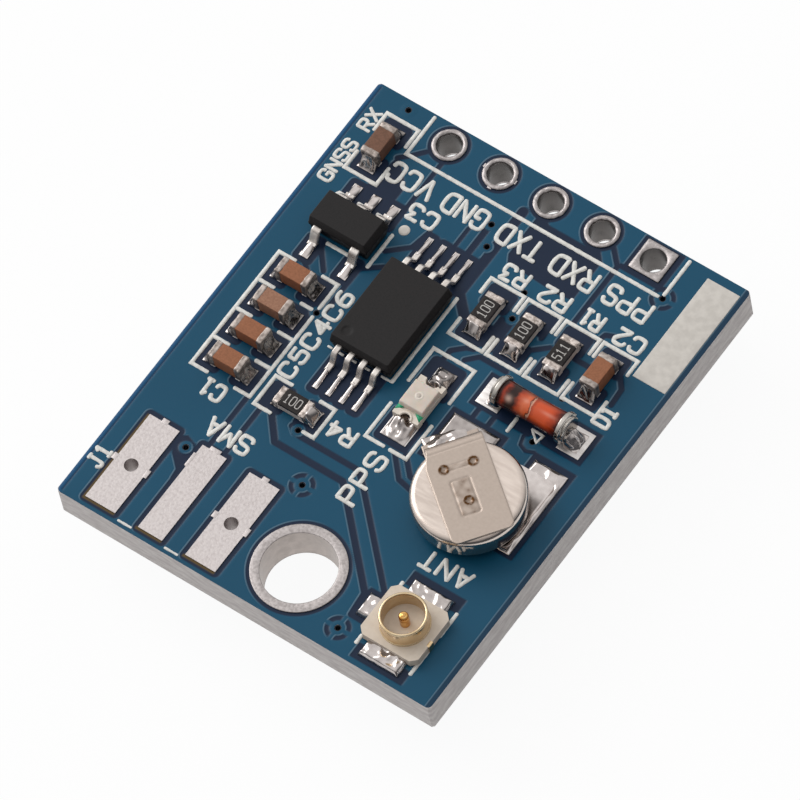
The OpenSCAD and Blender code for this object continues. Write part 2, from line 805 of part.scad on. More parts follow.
// Strip welded on the can: round at its free end, bent down past the can and out on to its land
module cell_top_tab() {
    bend = tab_t;
    leg_x = tab_drop + tab_t;
    rise = can_top_z - seat_z;
    color("#c6bbb0") translate([cell_at.x, cell_at.y, seat_z]) rotate(tab_turn) {
        intersection() {
            translate([(leg_x - tab_reach) / 2, 0, rise]) linear_extrude(tab_t)
                round_rect([tab_reach + leg_x, tab_w], tab_end_r);
            translate([-cell_d, -cell_d]) cube([cell_d + tab_drop - bend, 2 * cell_d, 2 * rise]);
        }
        rotate([90, 0, 0]) linear_extrude(tab_w, center = true) {
            translate([tab_drop - bend, rise - bend]) quarter_bend(bend, tab_t, 0);
            translate([tab_drop, bend + tab_t]) square([tab_t, rise - 2 * bend - tab_t]);
            translate([leg_x + bend, bend + tab_t]) quarter_bend(bend, tab_t, 180);
            translate([leg_x + bend, 0]) square([tab_foot, tab_t]);
        }
    }
}

// Flat plate under the cap, with its far corners rounded, on its own land
module cell_bottom_tab() {
    color("#cabfae") translate([cell_at.x + low_tab_off.x, cell_at.y + low_tab_off.y, seat_z])
        linear_extrude(tab_t) round_rect(low_tab, low_tab_r);
}

// Aerial socket

module at_coax() {
    translate([coax_at.x, coax_at.y, top_z]) children();
}

// Metal strip under the moulded body that carries the ring and ends in two feet
module coax_strap() {
    linear_extrude(coax_foot_t) square([coax_foot_w, coax_span], center = true);
}

// Channel under the body for the signal foot and its insulation
module coax_tail_strip(extra, past_t) {
    translate([-coax_tail, -coax_tail_w / 2 - extra])
        cube([coax_tail - coax_pin_d / 2 + extra, coax_tail_w + 2 * extra, coax_foot_t + past_t]);
}

module coax_body() {
    color("#cfc3ae") at_coax() translate([0, 0, land_t]) difference() {
        translate([coax_block_off, 0]) linear_extrude(coax_body_t) cut_rect(coax_block, coax_corner);
        coax_metal();
        coax_centre();
    }
}

// Ground strap with the push-on ring that stands through the body
module coax_metal() {
    difference() {
        coax_strap();
        translate([0, 0, -past]) cylinder(h = coax_h, d = coax_ring_d - 2 * coax_wall);
        translate([0, 0, -past]) coax_tail_strip(2 * coax_wall, 2 * past);
    }
    difference() {
        rotate_extrude() translate([coax_ring_d / 2 - coax_wall, coax_foot_t])
            coax_ring_section();
        translate([0, 0, -past]) coax_tail_strip(2 * coax_wall, past);
    }
}

// Ring wall with a snap groove at half height and a rounded lip
module coax_ring_section() {
    wall_h = coax_h - land_t - coax_foot_t;
    lip_r = coax_wall / 2;
    difference() {
        union() {
            square([coax_wall, wall_h - lip_r]);
            translate([lip_r, wall_h - lip_r]) circle(r = lip_r);
        }
        translate([coax_wall + coax_groove, coax_groove_z]) circle(r = 2 * coax_groove);
    }
}

module coax_shell() {
    color("#c9a566") at_coax() translate([0, 0, land_t]) coax_metal();
}

// Pin with a rounded tip, on a flat signal foot
module coax_centre() {
    pin_h = coax_pin_h - land_t;
    tip_r = coax_pin_d / 4;
    rotate_extrude() {
        square([coax_pin_d / 2, pin_h - tip_r]);
        square([coax_pin_d / 2 - tip_r, pin_h]);
        translate([coax_pin_d / 2 - tip_r, pin_h - tip_r]) circle(r = tip_r);
    }
    translate([-coax_tail, -coax_tail_w / 2]) cube([coax_tail, coax_tail_w, coax_foot_t]);
}

module coax_pin() {
    color("#d9a23c") at_coax() translate([0, 0, land_t]) coax_centre();
}

// Memory and regulator

module at_memory() {
    translate([mem_at.x, mem_at.y, seat_z]) children();
}

module at_regulator() {
    translate([reg_at.x, reg_at.y, seat_z]) children();
}

// Rows of leads on the +Y and -Y sides, children drawn out along their own X.
// The second row keeps the outer places of the first where it has fewer leads.
module for_leads(pitch, counts) {
    first = counts[0];
    for (side = [0, 1], i = [0 : counts[side] - 1]) {
        step = side == 0 || counts[1] == first ? 1 : (first - 1) / (counts[1] - 1);
        x = (i * step - (first - 1) / 2) * pitch;
        translate([x, 0]) rotate(side == 0 ? 90 : -90) children();
    }
}

module memory_body() {
    color("#332e2c") at_memory() translate([0, 0, mem_gap]) difference() {
        moulded_body(mem_w, mem_l, mem_t);
        translate([-mem_w / 2 + mark_inset, -mem_l / 2 + mark_inset, mem_t - mark_depth])
            cylinder(h = mark_depth + past, d = mark_d);
    }
}

module memory_leads() {
    color("#c9c6c2") at_memory() for_leads(mem_pitch, [mem_n, mem_n]) translate([mem_l / 2, 0])
        gull_lead((mem_span - mem_l) / 2, mem_shoulder, mem_gap + mem_t / 2, mem_lead_w);
}

module regulator_body() {
    color("#2e2a29") at_regulator() translate([0, 0, reg_gap]) moulded_body(reg_w, reg_l, reg_t);
}

module regulator_leads() {
    color("#c9c6c2") at_regulator() for_leads(reg_pitch, [3, 2]) translate([reg_l / 2, 0])
        gull_lead((reg_span - reg_l) / 2, reg_shoulder, reg_gap + reg_t / 2, reg_lead_w);
}

// Receiver on the underside

module at_receiver() {
    translate([0, rx_y, 0]) children();
}

// Each castellated pad on both long sides, children drawn outwards along +Y from the side face
module for_receiver_pads() {
    for (side = [0, 180], x = rx_pad_xs) rotate(side) translate([x, rx_w / 2]) children();
}

module receiver_substrate() {
    color("#2f6a4c") at_receiver() difference() {
        translate([-rx_l / 2, -rx_w / 2, rx_base_z]) cube([rx_l, rx_w, rx_base_t - land_t]);
        for_receiver_pads() translate([0, 0, rx_base_z - past])
            cylinder(h = rx_base_t + 2 * past, r = rx_notch_r + rx_plate);
    }
}

// Drawn sheet cover, closed on all sides, with rounded corners and edges
module receiver_shield() {
    color("#c4c3c0") at_receiver() intersection() {
        soft_box([rx_l - 2 * rx_margin, rx_w - 2 * rx_margin, 2 * rx_base_z], rx_edge);
        linear_extrude(rx_base_z) round_rect([rx_l - 2 * rx_margin, rx_w - 2 * rx_margin], rx_round);
    }
}

// Half-round plated notches and the pads under the substrate that lie on the board's lands
module receiver_ends() {
    color("#c8b27a") at_receiver() for_receiver_pads() difference() {
        union() {
            intersection() {
                translate([0, 0, rx_base_z]) cylinder(h = rx_base_t, r = rx_notch_r + rx_plate);
                translate([-rx_pad_w, -rx_pad_in]) cube([2 * rx_pad_w, rx_pad_in, rx_h]);
            }
            translate([-rx_pad_w / 2, -rx_pad_in, rx_h - land_t]) cube([rx_pad_w, rx_pad_in, land_t]);
        }
        translate([0, 0, rx_base_z - past]) cylinder(h = rx_base_t + 2 * past, r = rx_notch_r);
    }
}

module receiver_lands() {
    color("#c9c2bc") at_receiver() for_receiver_pads()
        translate([-rx_pad_w / 2, -rx_pad_in, rx_h]) cube([rx_pad_w, rx_pad_in + rx_toe, land_t]);
}

// Solder that fills each notch and runs out on its land
module receiver_fillets() {
    color("#d9d9d6") at_receiver() for_receiver_pads() translate([0, 0, rx_h]) mirror([0, 0, 1]) {
        intersection() {
            cylinder(h = rx_solder, r = rx_notch_r);
            translate([-rx_notch_r, -rx_notch_r]) cube([2 * rx_notch_r, rx_notch_r, rx_solder]);
        }
        rotate(90) ramp(rx_toe, rx_solder, 2 * rx_notch_r);
    }
}

printed_board();
mounting_ring();
for (i = [0 : header_n - 1])
    header_pad(i);
for (i = [0 : len(edge_names) - 1])
    edge_pad(i);
vias();
solder_lands();
solder_fillets();
for (i = [1 : cap_n])
    capacitor(i - 1);
for (i = [1 : cap_n])
    capacitor_ends(i - 1);
for (i = [1 : res_n])
    resistor(i - 1);
for (i = [1 : res_n])
    resistor_film(i - 1);
for (i = [1 : res_n])
    resistor_ends(i - 1);
led_base();
led_lens();
led_ends();
diode_glass();
diode_caps();
diode_slugs();
cell_can();
cell_gasket();
cell_cap();
cell_top_tab();
cell_bottom_tab();
coax_body();
coax_shell();
coax_pin();
memory_body();
memory_leads();
regulator_body();
regulator_leads();
receiver_substrate();
receiver_shield();
receiver_ends();
receiver_lands();
receiver_fillets();
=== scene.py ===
"""Satellite positioning board: surfaces, finishes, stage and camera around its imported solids."""

import json

import bpy
import numpy as np
from bpy.props import FloatProperty, FloatVectorProperty, PointerProperty
from bpy.types import Operator, Panel, PropertyGroup
from mathutils import Matrix, Vector


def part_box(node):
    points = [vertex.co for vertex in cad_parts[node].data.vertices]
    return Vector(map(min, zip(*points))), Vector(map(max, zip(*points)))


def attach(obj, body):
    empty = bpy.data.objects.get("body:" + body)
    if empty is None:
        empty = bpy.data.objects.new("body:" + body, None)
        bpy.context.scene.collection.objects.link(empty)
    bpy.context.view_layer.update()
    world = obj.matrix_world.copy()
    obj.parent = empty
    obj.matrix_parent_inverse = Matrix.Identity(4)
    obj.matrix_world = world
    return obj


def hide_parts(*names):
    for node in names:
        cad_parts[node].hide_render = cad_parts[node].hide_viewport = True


bl_info = {
    "name": "Positioning board",
    "version": (1, 0, 0),
    "blender": (4, 5, 0),
    "location": "3D View > Sidebar > Board",
    "description": "Dresses a satellite positioning board with solder mask, print, solder and finishes",
    "category": "Object",
}

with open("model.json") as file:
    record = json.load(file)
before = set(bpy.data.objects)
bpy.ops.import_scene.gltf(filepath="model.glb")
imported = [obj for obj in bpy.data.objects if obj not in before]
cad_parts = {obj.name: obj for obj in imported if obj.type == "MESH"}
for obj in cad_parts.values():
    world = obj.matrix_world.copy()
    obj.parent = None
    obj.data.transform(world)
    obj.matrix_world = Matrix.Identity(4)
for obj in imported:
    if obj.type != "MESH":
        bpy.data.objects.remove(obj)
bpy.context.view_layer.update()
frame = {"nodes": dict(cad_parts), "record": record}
MM = 0.001


def box_mm(node):
    """Lowest and highest corner of a CAD node, in millimetres."""
    low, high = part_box(node)
    return np.array(low) / MM, np.array(high) / MM


def middle(node):
    """Centre of a CAD node's box, in millimetres."""
    return np.mean(box_mm(node), axis=0)


def linear(colour):
    """sRGB hex colour as linear red, green and blue."""
    part = np.array([int(colour[i : i + 2], 16) for i in (1, 3, 5)]) / 255
    return tuple(np.where(part <= 0.04045, part / 12.92, ((part + 0.055) / 1.055) ** 2.4).tolist())


# Levels and places that come from the frame, in millimetres
BOARD_LOW, BOARD_HIGH = box_mm("printed_board")
TOP_Z = BOARD_HIGH[2]
UNDER_Z = BOARD_LOW[2]
LAND_Z = box_mm("solder_lands")[1][2]
HEADER_PADS = tuple(f"header_pad_{name}" for name in ("vcc", "gnd", "txd", "rxd", "pps"))
EDGE_PADS = tuple(f"edge_pad_{name}" for name in ("ground_left", "signal", "ground_right"))
CAPACITORS = tuple(f"capacitor_{i}" for i in range(1, 7))
RESISTORS = tuple(f"resistor_{i}" for i in range(1, 5))

# Sizes that several pieces share, as the solids have them, in millimetres
CORNER_R = 0.2
HEADER_HOLE_R = 0.55
MOUNT_HOLE_R = 1.6
VIA_R = 0.15
CHIP_TOE = 0.4
CHIP_END = 0.3
LAND_SIDE = 0.06
MEMORY_PITCH = 0.65
MEMORY_TOE = 0.9
MEMORY_LEAD_W = 0.26
REGULATOR_PITCH = 0.95
REGULATOR_TOE = 0.58
REGULATOR_LEAD_W = 0.42
LEAD_T = 0.14
# Clearances in the top copper: round lands, header holes, the mounting hole, and each via's own copper
LAND_CLEAR = 0.22
HEADER_CLEAR_R = 0.9
MOUNT_CLEAR_R = 2.15
VIA_COPPER_R = 0.3
# Ring of gaps round a relieved via: its radius, half its width and half the width of its bridges
RELIEF_RING = (0.45, 0.1, 0.11)
LAMP_TOE = 0.98
DIODE_TOE = 0.74
EDGE_HOLE_Y = BOARD_LOW[1] + 2.51
TAB_TURN = np.radians(143)
CELL_X, CELL_Y, _ = middle("cell_can")
SOCKET_X, SOCKET_Y, _ = middle("coax_shell")
# Painted highlights on the diode's glass, as pale streaks: strength, place and width along it and round it
DIODE_GLINTS = ((0.6, 0.17, 0.05, -0.6, 0.24), (0.25, 0.8, 0.12, -0.2, 0.13), (0.25, 0.42, 0.06, -0.1, 0.18))
# Lands of the cell's tabs and of the socket's feet: middle and half sides
CELL_LANDS = (
    ((CELL_X - 2.02, CELL_Y + 2.08), (1.13, 1.13)),
    ((CELL_X + 1.66, CELL_Y + 1.13), (0.81, 2.06)),
)
SOCKET_LANDS = (
    ((SOCKET_X, SOCKET_Y + 1.5), (0.98, 0.49)),
    ((SOCKET_X, SOCKET_Y - 1.5), (0.98, 0.49)),
    ((SOCKET_X - 1.7, SOCKET_Y), (0.42, 0.55)),
)
VIAS = (
    (-7.47, 10.7), (-1.03, 7.19), (-1.47, 8.13), (1.78, 5.02), (1.5, 6.25), (6.4, 9.0), (5.63, 3.1),
    (5.75, 0.85), (-5.1, 1.02), (-2.56, -3.75), (-5.95, -6.8), (-0.95, -5.69), (4.05, -10.15),
)
# Vias that stand in a ring of four short gaps
RELIEVED_VIAS = ((6.4, 9.0), (-0.95, -5.69), (4.05, -10.15))
# Edge of the copper border, on the underside and on the right of the top
BORDER = (0.07, ((-8.97, -10.8), (-8.97, 10.95), (9.0, 10.95), (9.0, -10.8), (-8.97, -10.8)))
BORDER_RIGHT = 9.05

# Bare gaps between the copper areas of the top face: width and path
GAP_RUNS = (
    # copper border on the left
    (0.05, ((-9.05, -11.0), (-9.05, 11.0))),
    # header row to supply capacitor and regulator
    (0.24, ((-5.7, 9.5), (-6.15, 9.0), (-6.55, 8.65))),
    (0.22, ((-4.85, 9.6), (-4.85, 6.0))),
    (0.24, ((-4.85, 3.6), (-4.85, 0.9))),
    (0.24, ((-6.9, 3.8), (-6.0, 2.75))),
    (0.22, ((-7.0, 2.75), (-6.6, 2.45))),
    (0.24, ((-4.43, 4.83), (-3.6, 5.55), (-3.4, 6.5))),
    (0.24, ((-4.85, 3.6), (-4.05, 4.2))),
    # memory to header row
    (0.2, ((-2.15, 7.5), (-2.15, 6.4))),
    (0.3, ((-1.5, 8.0), (-1.5, 6.4))),
    (0.45, ((-0.72, 9.3), (-0.72, 4.85), (0.0, 4.15))),
    (0.24, ((3.25, 10.0), (4.0, 9.25), (4.0, 6.2))),
    (0.24, ((4.1, 9.35), (6.2, 9.35))),
    # chip row
    (0.24, ((3.3, 5.9), (3.3, 4.9))),
    (0.24, ((3.85, 4.75), (3.15, 4.15))),
    (0.24, ((6.9, 5.3), (7.4, 4.7), (7.45, 3.9))),
    (0.24, ((5.0, 4.85), (5.7, 4.85))),
    (0.24, ((5.9, 6.6), (5.4, 6.4), (5.3, 6.0))),
    # lamp, diode and cell
    (0.24, ((0.5, 1.9), (0.5, 2.5), (1.0, 2.95), (1.3, 3.05))),
    (0.24, ((1.25, 2.45), (1.7, 2.9), (3.0, 2.9))),
    (0.24, ((3.05, 0.9), (3.05, 0.45))),
    (0.24, ((3.8, 0.9), (3.8, 0.45))),
    (0.24, ((1.35, -2.5), (2.2, -3.4), (2.9, -3.55))),
    (0.24, ((1.75, -2.3), (2.5, -3.05), (2.8, -3.1))),
    # aerial line, its two sides
    (0.26, ((-2.9, -3.7), (-2.6, -3.93), (0.6, -3.93), (1.3, -4.55), (4.75, -7.9), (4.9, -8.0))),
    (0.3, ((-4.0, -3.6), (-3.05, -4.68), (0.35, -4.68), (1.2, -5.5), (4.05, -8.3), (4.15, -9.35),
           (5.0, -9.35))),
    # edge pads
    (0.24, ((-5.2, -3.6), (-5.2, -6.2))),
    (0.24, ((-4.45, -3.6), (-4.45, -6.2))),
    (0.24, ((-6.2, -7.2), (-5.6, -7.75), (-5.55, -8.2))),
    # via under the diode
    (0.16, ((5.5, 1.25), (5.28, 0.9), (5.4, 0.5), (5.75, 0.36), (6.1, 0.5))),
)
# Wider bare areas of the top face, by their corners
GAP_AREAS = (
    ((-6.55, 8.75), (-5.45, 7.7), (-5.45, 6.05), (-6.85, 6.05), (-6.85, 7.1)),
    ((0.0, 9.75), (0.55, 9.35), (2.3, 9.35), (2.9, 9.6), (3.35, 9.1), (3.35, 7.0), (2.6, 6.9), (0.1, 7.05),
     (-0.1, 7.4), (-0.1, 9.6)),
    ((-6.8, -6.68), (-6.18, -6.3), (-5.64, -6.5), (-5.55, -7.61), (-6.36, -7.16)),
    ((1.3, 3.3), (2.0, 3.3), (2.0, 4.9), (1.3, 4.9)),
    ((4.15, 9.3), (6.1, 9.3), (6.1, 11.1), (4.15, 11.1)),
    ((2.5, 0.95), (8.0, 0.95), (8.0, 2.6), (2.5, 2.6)),
    ((2.1, -2.05), (4.85, -2.05), (4.85, 0.5), (2.1, 0.5)),
    ((6.1, -4.0), (8.15, -4.0), (8.15, 0.55), (6.1, 0.55)),
    ((5.15, -7.1), (7.7, -7.1), (7.7, -6.4), (5.15, -6.4)),
    ((5.15, -10.9), (7.7, -10.9), (7.7, -10.2), (5.15, -10.2)),
    ((4.1, -9.35), (5.3, -9.35), (5.3, -7.95), (4.1, -7.95)),
)

# White print lines of the top face
PRINT_LINES = (
    # header row
    ((-6.35, 11.0), (-6.35, 8.99), (6.19, 8.99)),
    ((6.35, 9.16), (6.35, 11.0)),
    # supply capacitor
    ((-8.13, 9.2), (-8.13, 10.13), (-6.55, 10.13), (-6.55, 9.2)),
    ((-8.13, 8.05), (-8.13, 7.15), (-6.55, 7.15), (-6.55, 8.05)),
    # capacitor column
    ((-7.25, 2.53), (-8.07, 2.53), (-8.07, -3.54), (-7.25, -3.54)),
    ((-5.9, 2.53), (-5.13, 2.53), (-5.13, 1.22)),
    ((-5.13, 0.8), (-5.13, -3.54), (-5.9, -3.54)),
    ((-8.07, 1.05), (-7.25, 1.05)),
    ((-8.07, -0.51), (-7.25, -0.51)),
    ((-8.07, -2.06), (-7.25, -2.06)),
    ((-5.35, 1.05), (-5.9, 1.05)),
    ((-5.13, -0.51), (-5.9, -0.51)),
    ((-5.13, -2.06), (-5.9, -2.06)),
    # lone resistor
    ((-3.97, -2.2), (-4.8, -2.2), (-4.8, -3.7), (-3.97, -3.7)),
    ((-2.58, -2.2), (-1.83, -2.2), (-1.83, -3.7), (-2.36, -3.7)),
    # lamp
    ((-0.12, 0.47), (-0.12, 2.23), (1.9, 2.23), (1.9, 0.47)),
    ((-0.12, -0.72), (-0.12, -2.5), (0.8, -2.5)),
    ((1.08, -2.5), (1.9, -2.5), (1.9, -0.72)),
    # regulator
    ((-4.6, 5.6), (-4.6, 3.83)),
    ((-6.63, 3.88), (-5.6, 3.88)),
    ((-7.7, 5.9), (-7.6, 6.05), (-7.3, 6.05)),
    ((-6.65, 6.05), (-6.35, 6.05)),
    ((-5.7, 6.05), (-5.4, 6.05)),
    # memory
    ((-0.65, 4.6), (-0.65, 0.05)),
    # aerial socket
    ((5.05, -7.1), (5.05, -7.45)),
    ((7.71, -7.1), (7.71, -8.3)),
    ((7.71, -9.0), (7.71, -10.3)),
    ((5.05, -9.9), (5.05, -10.3)),
    # diode
    ((4.6, 1.4), (4.6, 0.7)),
)
# Thinner print lines
THIN_LINES = (
    # edge pads
    ((-6.29, -10.94), (-5.65, -10.94)),
    ((-3.96, -10.94), (-3.33, -10.94)),
    # memory, between its leads
    ((-0.65, 0.05), (-1.15, 0.05)),
    ((-1.74, 0.02), (-1.96, 0.02)),
    ((-2.4, 0.02), (-2.62, 0.02)),
    ((-3.04, 0.02), (-3.26, 0.02)),
    ((-3.6, 0.03), (-3.8, 0.03)),
    # diode symbol
    ((5.4, 1.32), (5.96, 1.3), (5.9, 0.9), (5.4, 1.32)),
)
# Chips that stand in a row, each between two brackets
CHIP_ROW_NODES = ("resistor_3", "resistor_2", "resistor_1", "capacitor_2")
# Brackets: half width, level and leg of the upper one, level and leg of the lower one
CHIP_BRACKET = (0.83, 6.1, 5.33, 3.13, 3.93)
# First-pin dot of the memory
PRINT_DOT = (-4.32, 6.03, 0.25)
# Blank panel for writing on
WRITE_PANEL = ((7.4, 5.45), (9.0, 10.75))

# Lettering: words, box (x0, y0, x1, y1) and the turn of the baseline in degrees
LETTERING = (
    ("VCC", (-6.53, 7.53, -4.27, 8.6), 180),
    ("GND", (-3.81, 7.53, -1.63, 8.6), 180),
    ("TXD", (-1.1, 7.53, 1.07, 8.6), 180),
    ("RXD", (1.57, 7.53, 3.77, 8.6), 180),
    ("PPS", (4.23, 7.53, 6.43, 8.6), 180),
    ("C3", (-4.77, 6.5, -3.32, 7.4), 180),
    ("R3", (0.1, 6.23, 1.4, 7.13), 180),
    ("R2", (2.0, 6.23, 3.43, 7.13), 180),
    ("R1", (4.0, 6.23, 5.1, 7.13), 180),
    ("C2", (5.7, 6.23, 7.13, 7.13), 180),
    ("C1", (-7.19, -4.56, -6.0, -3.64), 180),
    ("R4", (-1.65, -3.39, -0.29, -2.5), 180),
    ("SMA", (-5.86, -5.96, -3.65, -4.96), 180),
    ("ANT", (5.0, -6.2, 7.4, -5.24), 180),
    ("GNSS RX", (-8.92, 6.15, -8.18, 10.05), 90),
    ("C5C4C6", (-4.97, -2.1, -4.1, 2.5), 90),
    ("D1", (7.13, 2.8, 8.0, 3.87), 90),
    ("J1", (-9.1, -9.53, -8.26, -8.42), 90),
    ("PPS", (0.44, -5.45, 1.44, -2.84), 90),
)
# Codes on the resistors and the turn of their baselines
RESISTOR_CODES = (("resistor_1", "511", 90), ("resistor_2", "100", 90), ("resistor_3", "100", 90),
                  ("resistor_4", "100", 0))

# Stroke letters on a grid 6 wide and 10 high; a stroke that starts with ~ has its corners cut round
LETTERS = {
    "A": ("0,0 3,10", "3,10 6,0", "1,3.2 5,3.2"),
    "C": ("~6,7.6 5.4,10 0.8,10 0,8 0,2 0.8,0 5.4,0 6,2.4",),
    "D": ("0,0 0,10", "~0,10 4,10 6,8.4 6,1.6 4,0 0,0"),
    "G": ("~6,7.6 5.4,10 0.8,10 0,8 0,2 0.8,0 5.6,0 6,2 6,4.8", "6,4.8 3.4,4.8"),
    "J": ("~4.2,10 4.2,2 3.6,0 0.8,0 0,2.2", "2.6,10 5.8,10"),
    "M": ("0,0 0,10", "0,10 3,3.5", "3,3.5 6,10", "6,10 6,0"),
    "N": ("0,0 0,10", "0,10 6,0", "6,0 6,10"),
    "P": ("0,0 0,10", "~0,10 4.6,10 6,9.2 6,5.6 4.6,4.8 0,4.8"),
    "R": ("0,0 0,10", "~0,10 4.6,10 6,9.2 6,5.6 4.6,4.8 0,4.8", "3,4.8 6,0"),
    "S": ("~6,7.8 5.4,10 0.6,10 0,8.6 0,6.2 1,5.2 5,4.8 6,3.8 6,1.4 5.4,0 0.6,0 0,2.2",),
    "T": ("0,10 6,10", "3,10 3,0"),
    "V": ("0,10 3,0", "3,0 6,10"),
    "X": ("0,0 6,10", "0,10 6,0"),
    "0": ("~3,10 0.8,10 0,8 0,2 0.8,0 5.2,0 6,2 6,8 5.2,10 3,10",),
    "1": ("1.2,8 3,10", "3,10 3,0", "1,0 5,0"),
    "2": ("~0,7.8 0.8,10 5.2,10 6,8.6 6,6.4 0.4,0.6", "0,0 6,0"),
    "3": ("0.2,10 5.8,10", "5.8,10 3,6", "~3,6 5.2,6 6,4.8 6,1.4 5.2,0 0.8,0 0,2"),
    "4": ("4.6,0 4.6,10", "4.6,10 0,3.2", "0,3.2 6.4,3.2", "1.8,4.2 4,7"),
    "5": ("5.6,10 0.6,10", "0.6,10 0.3,5.6", "~0.3,5.6 4.8,6 6,5 6,1.4 5.2,0 0.8,0 0,2"),
    "6": ("~5.6,9.4 2.6,10 0,6.6 0,1.6 0.8,0 5.2,0 6,1.6 6,4.2 5.2,5.6 1,5.6 0,4",),
    " ": (),
}
LETTER_W, LETTER_H, LETTER_STEP = 6.0, 10.0, 8.6


class MaskSettings(PropertyGroup):
    """Colours and relief of the solder mask."""

    copper: FloatVectorProperty(
        name="Over copper", description="Mask colour where copper lies under it",
        subtype="COLOR", default=linear("#124f6b"),
    )
    gap: FloatVectorProperty(
        name="Over gaps", description="Mask colour over bare laminate between copper areas",
        subtype="COLOR", default=linear("#17253c"),
    )
    # painted light: the brighter strip along the left edge, the side the light comes from
    rim: FloatVectorProperty(
        name="Over rim", description="Mask colour on the bright strip at the left edge",
        subtype="COLOR", default=linear("#114d7c"),
    )
    step: FloatProperty(
        name="Grid step", description="Distance between the points of the mask surface",
        subtype="DISTANCE", default=0.0665 * MM,
    )
    rise: FloatProperty(
        name="Copper rise", description="Height of the mask over copper above the mask over a gap",
        subtype="DISTANCE", default=0.014 * MM,
    )


class PrintSettings(PropertyGroup):
    """White print on the mask."""

    ink: FloatVectorProperty(
        name="Ink", description="Colour of the white print", subtype="COLOR", default=linear("#eae8e2")
    )
    line: FloatProperty(
        name="Line width", description="Width of the outlines", subtype="DISTANCE", default=0.182 * MM
    )
    letter: FloatProperty(
        name="Letter stroke", description="Stroke width of the lettering",
        subtype="DISTANCE", default=0.192 * MM,
    )
    height: FloatProperty(
        name="Ink height", description="Height of the ink above the board's top face",
        subtype="DISTANCE", default=0.042 * MM,
    )


class SolderSettings(PropertyGroup):
    """Solder at the joints."""

    capacitor: FloatProperty(
        name="Capacitor rise", description="Height of the solder on a capacitor's end",
        subtype="DISTANCE", default=0.5 * MM,
    )
    resistor: FloatProperty(
        name="Resistor rise", description="Height of the solder on a resistor's end",
        subtype="DISTANCE", default=0.32 * MM,
    )
    lead: FloatProperty(
        name="Lead rise", description="Height of the solder at the toe of a lead",
        subtype="DISTANCE", default=0.13 * MM,
    )
    lumps: FloatProperty(
        name="Lumps", description="Height of the wrinkles that set in the solder",
        subtype="DISTANCE", default=0.035 * MM,
    )


class StageSettings(PropertyGroup):
    """Camera and light."""

    azimuth: FloatProperty(
        name="Azimuth", description="Direction from the board to the camera, from +X", subtype="ANGLE",
        default=np.radians(-42.81),
    )
    elevation: FloatProperty(
        name="Elevation", description="Camera's height above the horizon", subtype="ANGLE",
        default=np.radians(60.22),
    )
    roll: FloatProperty(
        name="Roll", description="Lean of the camera's upright to its right", subtype="ANGLE",
        default=np.radians(13.136),
    )
    distance: FloatProperty(
        name="Distance", description="Camera to the point that it aims at",
        subtype="DISTANCE", default=0.44162,
    )
    aim: FloatVectorProperty(
        name="Aim", description="Point in the middle of the picture", subtype="TRANSLATION",
        default=(0.114 * MM, -0.434 * MM, (TOP_Z + 0.024) * MM),
    )
    lens: FloatProperty(
        name="Lens", description="Focal length in millimetres for a sensor 36 mm wide", default=495.98
    )
    key_power: FloatProperty(
        name="Key light", description="Power of the key light", subtype="POWER", default=1.0
    )
    sky: FloatProperty(name="Sky", description="Strength of the brightest part of the sky", default=0.95)
    floor_glow: FloatProperty(
        name="Floor glow", description="Share of the floor's white that is its own, where it is seen",
        subtype="FACTOR", default=0.94,
    )


class BoardSettings(PropertyGroup):
    """All settings of the board."""

    mask: PointerProperty(type=MaskSettings)
    ink: PointerProperty(type=PrintSettings)
    solder: PointerProperty(type=SolderSettings)
    stage: PointerProperty(type=StageSettings)


# Surfaces


def smooth(value, low, high):
    """Smooth step: 0 below low, 1 above high, and 3 t^2 - 2 t^3 between."""
    t = np.clip((value - low) / (high - low), 0, 1)
    return t * t * (3 - 2 * t)


def unit(vectors):
    """Rows of vectors, each divided by its own length."""
    return vectors / np.linalg.norm(vectors, axis=1, keepdims=True)


def ripple(points, size, seed):
    """Smooth lumps about -1 to 1: twice the mean of six sine waves, each about size from crest to crest."""
    rng = np.random.default_rng(seed)
    ways = rng.normal(size=(6, points.shape[-1]))
    lengths = np.linalg.norm(ways, axis=1, keepdims=True)
    ways *= 2 * np.pi / size * rng.uniform(0.7, 1.3, (6, 1)) / lengths
    return 2 * np.sin(points @ ways.T + rng.uniform(0, 2 * np.pi, 6)).mean(-1)


def grid_quads(rows, columns, closed=False):
    """Faces of a grid of points numbered row by row; a closed grid joins its last column to its first."""
    ids = np.arange(rows * columns).reshape(rows, columns)
    if closed:
        ids = np.hstack([ids, ids[:, :1]])
    return np.stack([ids[:-1, :-1], ids[:-1, 1:], ids[1:, 1:], ids[1:, :-1]], axis=-1).reshape(-1, 4)


def joined(parts):
    """One set of points and face blocks from several."""
    starts = np.cumsum([0] + [len(points) for points, _ in parts])
    points = np.vstack([points for points, _ in parts])
    return points, [block + start for (_, blocks), start in zip(parts, starts) for block in blocks]


def to_underside(part):
    """A top-side surface mirrored through the board's middle plane, with its faces turned back outwards."""
    points, blocks = part
    points = points * (1, 1, -1) + (0, 0, TOP_Z + UNDER_Z)
    return points, [block[:, ::-1] for block in blocks]


def welded(points, blocks):
    """Merges points that share a place and drops the repeated corners of faces round a pole."""
    _, first, index = np.unique(np.round(points, 6), axis=0, return_index=True, return_inverse=True)
    index = index.reshape(-1)
    corners = [list(dict.fromkeys(face)) for block in blocks for face in index[block].tolist()]
    return points[first], [face for face in corners if len(face) > 2], first


